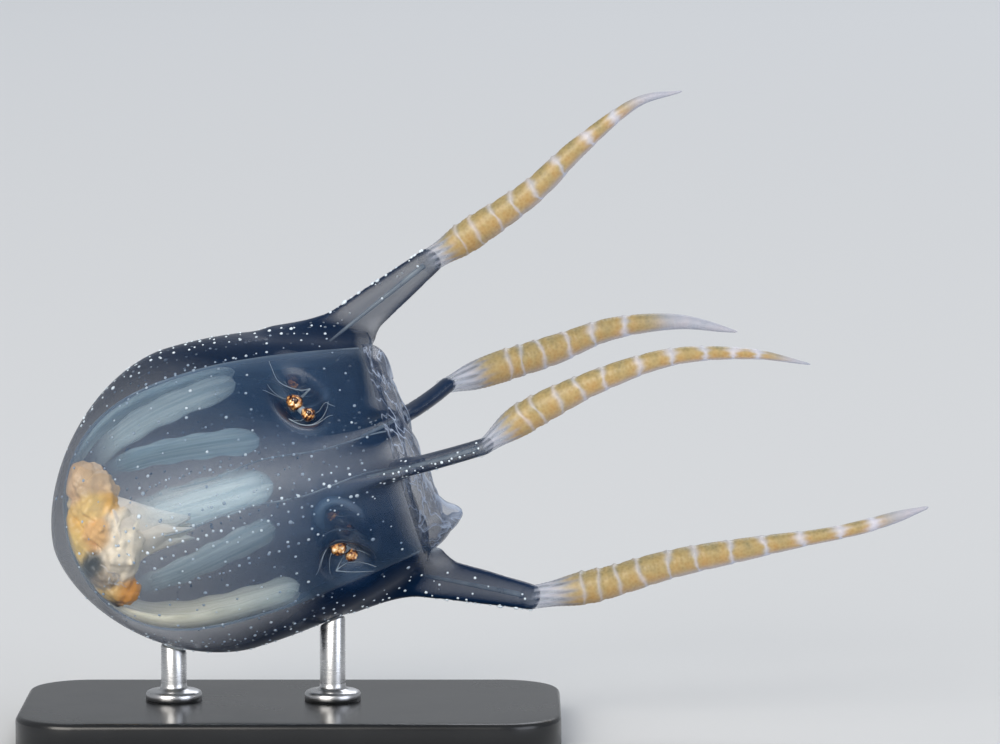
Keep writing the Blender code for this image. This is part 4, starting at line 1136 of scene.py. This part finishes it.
# Turned stainless steel: fine rings round the rod from the tool.
steel, tree = new_material("turned_stainless_steel")
place = add(tree, "ShaderNodeTexCoord")
turning = add(tree, "ShaderNodeMapping", {"Vector": place.outputs["Object"], "Scale": (0.05, 0.05, 1)})
cut = noise(tree, 0.06 * MM, turning.outputs[0], Detail=2.0)
end_material(tree, {"Base Color": linear("C6C7C9"), "Metallic": 1.0, "Roughness": ranged(tree, cut, 0.18, 0.4),
                    "Normal": bumped(tree, cut, 0.2, 0.01)})

PLATE_CORNER = 2.4
PLATE_EASE = 0.22
CORNER_STEPS = 14
low, high = np.array(base_low) / MM, np.array(base_high) / MM
turns = np.linspace(0, np.pi / 2, CORNER_STEPS)
half = (high - low) / 2
corner_x = np.repeat((1.0, -1.0, -1.0, 1.0), CORNER_STEPS) * (half[0] - PLATE_CORNER)
corner_y = np.repeat((1.0, 1.0, -1.0, -1.0), CORNER_STEPS) * (half[1] - PLATE_CORNER)
round_turn = np.concatenate([turns + quarter * np.pi / 2 for quarter in range(4)])
ease = np.linspace(0, np.pi / 2, 6)
insets = np.concatenate([[0.08, 0], PLATE_EASE * (1 - np.cos(ease)), [PLATE_EASE + 0.5]])
heights = np.concatenate([[0, 0.08], high[2] - PLATE_EASE * (1 - np.sin(ease)), [high[2]]])
reach = PLATE_CORNER - insets[:, None]
plate = np.stack([corner_x + reach * np.cos(round_turn), corner_y + reach * np.sin(round_turn),
                  np.broadcast_to(heights[:, None], (len(heights), 4 * CORNER_STEPS))], axis=-1)
plate[..., :2] += ((low + high) / 2)[:2]
make_piece("stand_plate", (plate - APEX) @ TIP, capped(len(heights), plate.shape[1]), acrylic,
           "stand_plate", replaced=["stand_base"])

ROD_RADIUS = 0.5
ROD_CLEARANCE = 0.03
ROD_SIDES = 48


def underside(x, y, low, high):
    """Height of the skin's lower side over places on the plan, in world mm, by halving the gap 24 times."""
    low, high = np.full_like(x, low), np.full_like(x, high)
    for _ in range(24):
        middle = (low + high) / 2
        outside = skin_field((np.stack([x, y, middle], axis=-1) - APEX) @ TIP) > 0
        low, high = np.where(outside, middle, low), np.where(outside, high, middle)
    return low


angle = circle(ROD_SIDES)
for rod in ("rear", "front"):
    low, high = (np.array(corner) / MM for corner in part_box(f"stand_rod_{rod}"))
    foot, collar = heights[-1], (high[0] - low[0]) / 2
    centre = (low + high) / 2
    # Radius and height above the plate up to the collar's neck, then radius and drop below the bell
    turned = ((collar, 0.0), (collar, 0.26), (collar - 0.05, 0.35), (collar - 0.15, 0.40), (0.66, 0.42), (0.56, 0.47),
              (0.51, 0.56), (ROD_RADIUS, 0.70))
    shaped = ((ROD_RADIUS, 0.12), (0.46, 0.03), (0.40, 0.0), (0.2, 0.0), (0.01, 0.0))
    rings = [np.stack([centre[0] + r * np.cos(angle), centre[1] + r * np.sin(angle),
                       np.full(ROD_SIDES, foot + up)], axis=-1) for r, up in turned]
    for r, drop in shaped:
        x, y = centre[0] + r * np.cos(angle), centre[1] + r * np.sin(angle)
        rings.append(np.stack([x, y, underside(x, y, foot, high[2] + 0.6) - drop - ROD_CLEARANCE], axis=-1))
    make_piece(f"stand_turned_rod_{rod}", (np.concatenate(rings) - APEX) @ TIP, capped(len(rings), ROD_SIDES),
               steel, "stand_rod", replaced=[f"stand_rod_{rod}"])

bpy.context.view_layer.update()
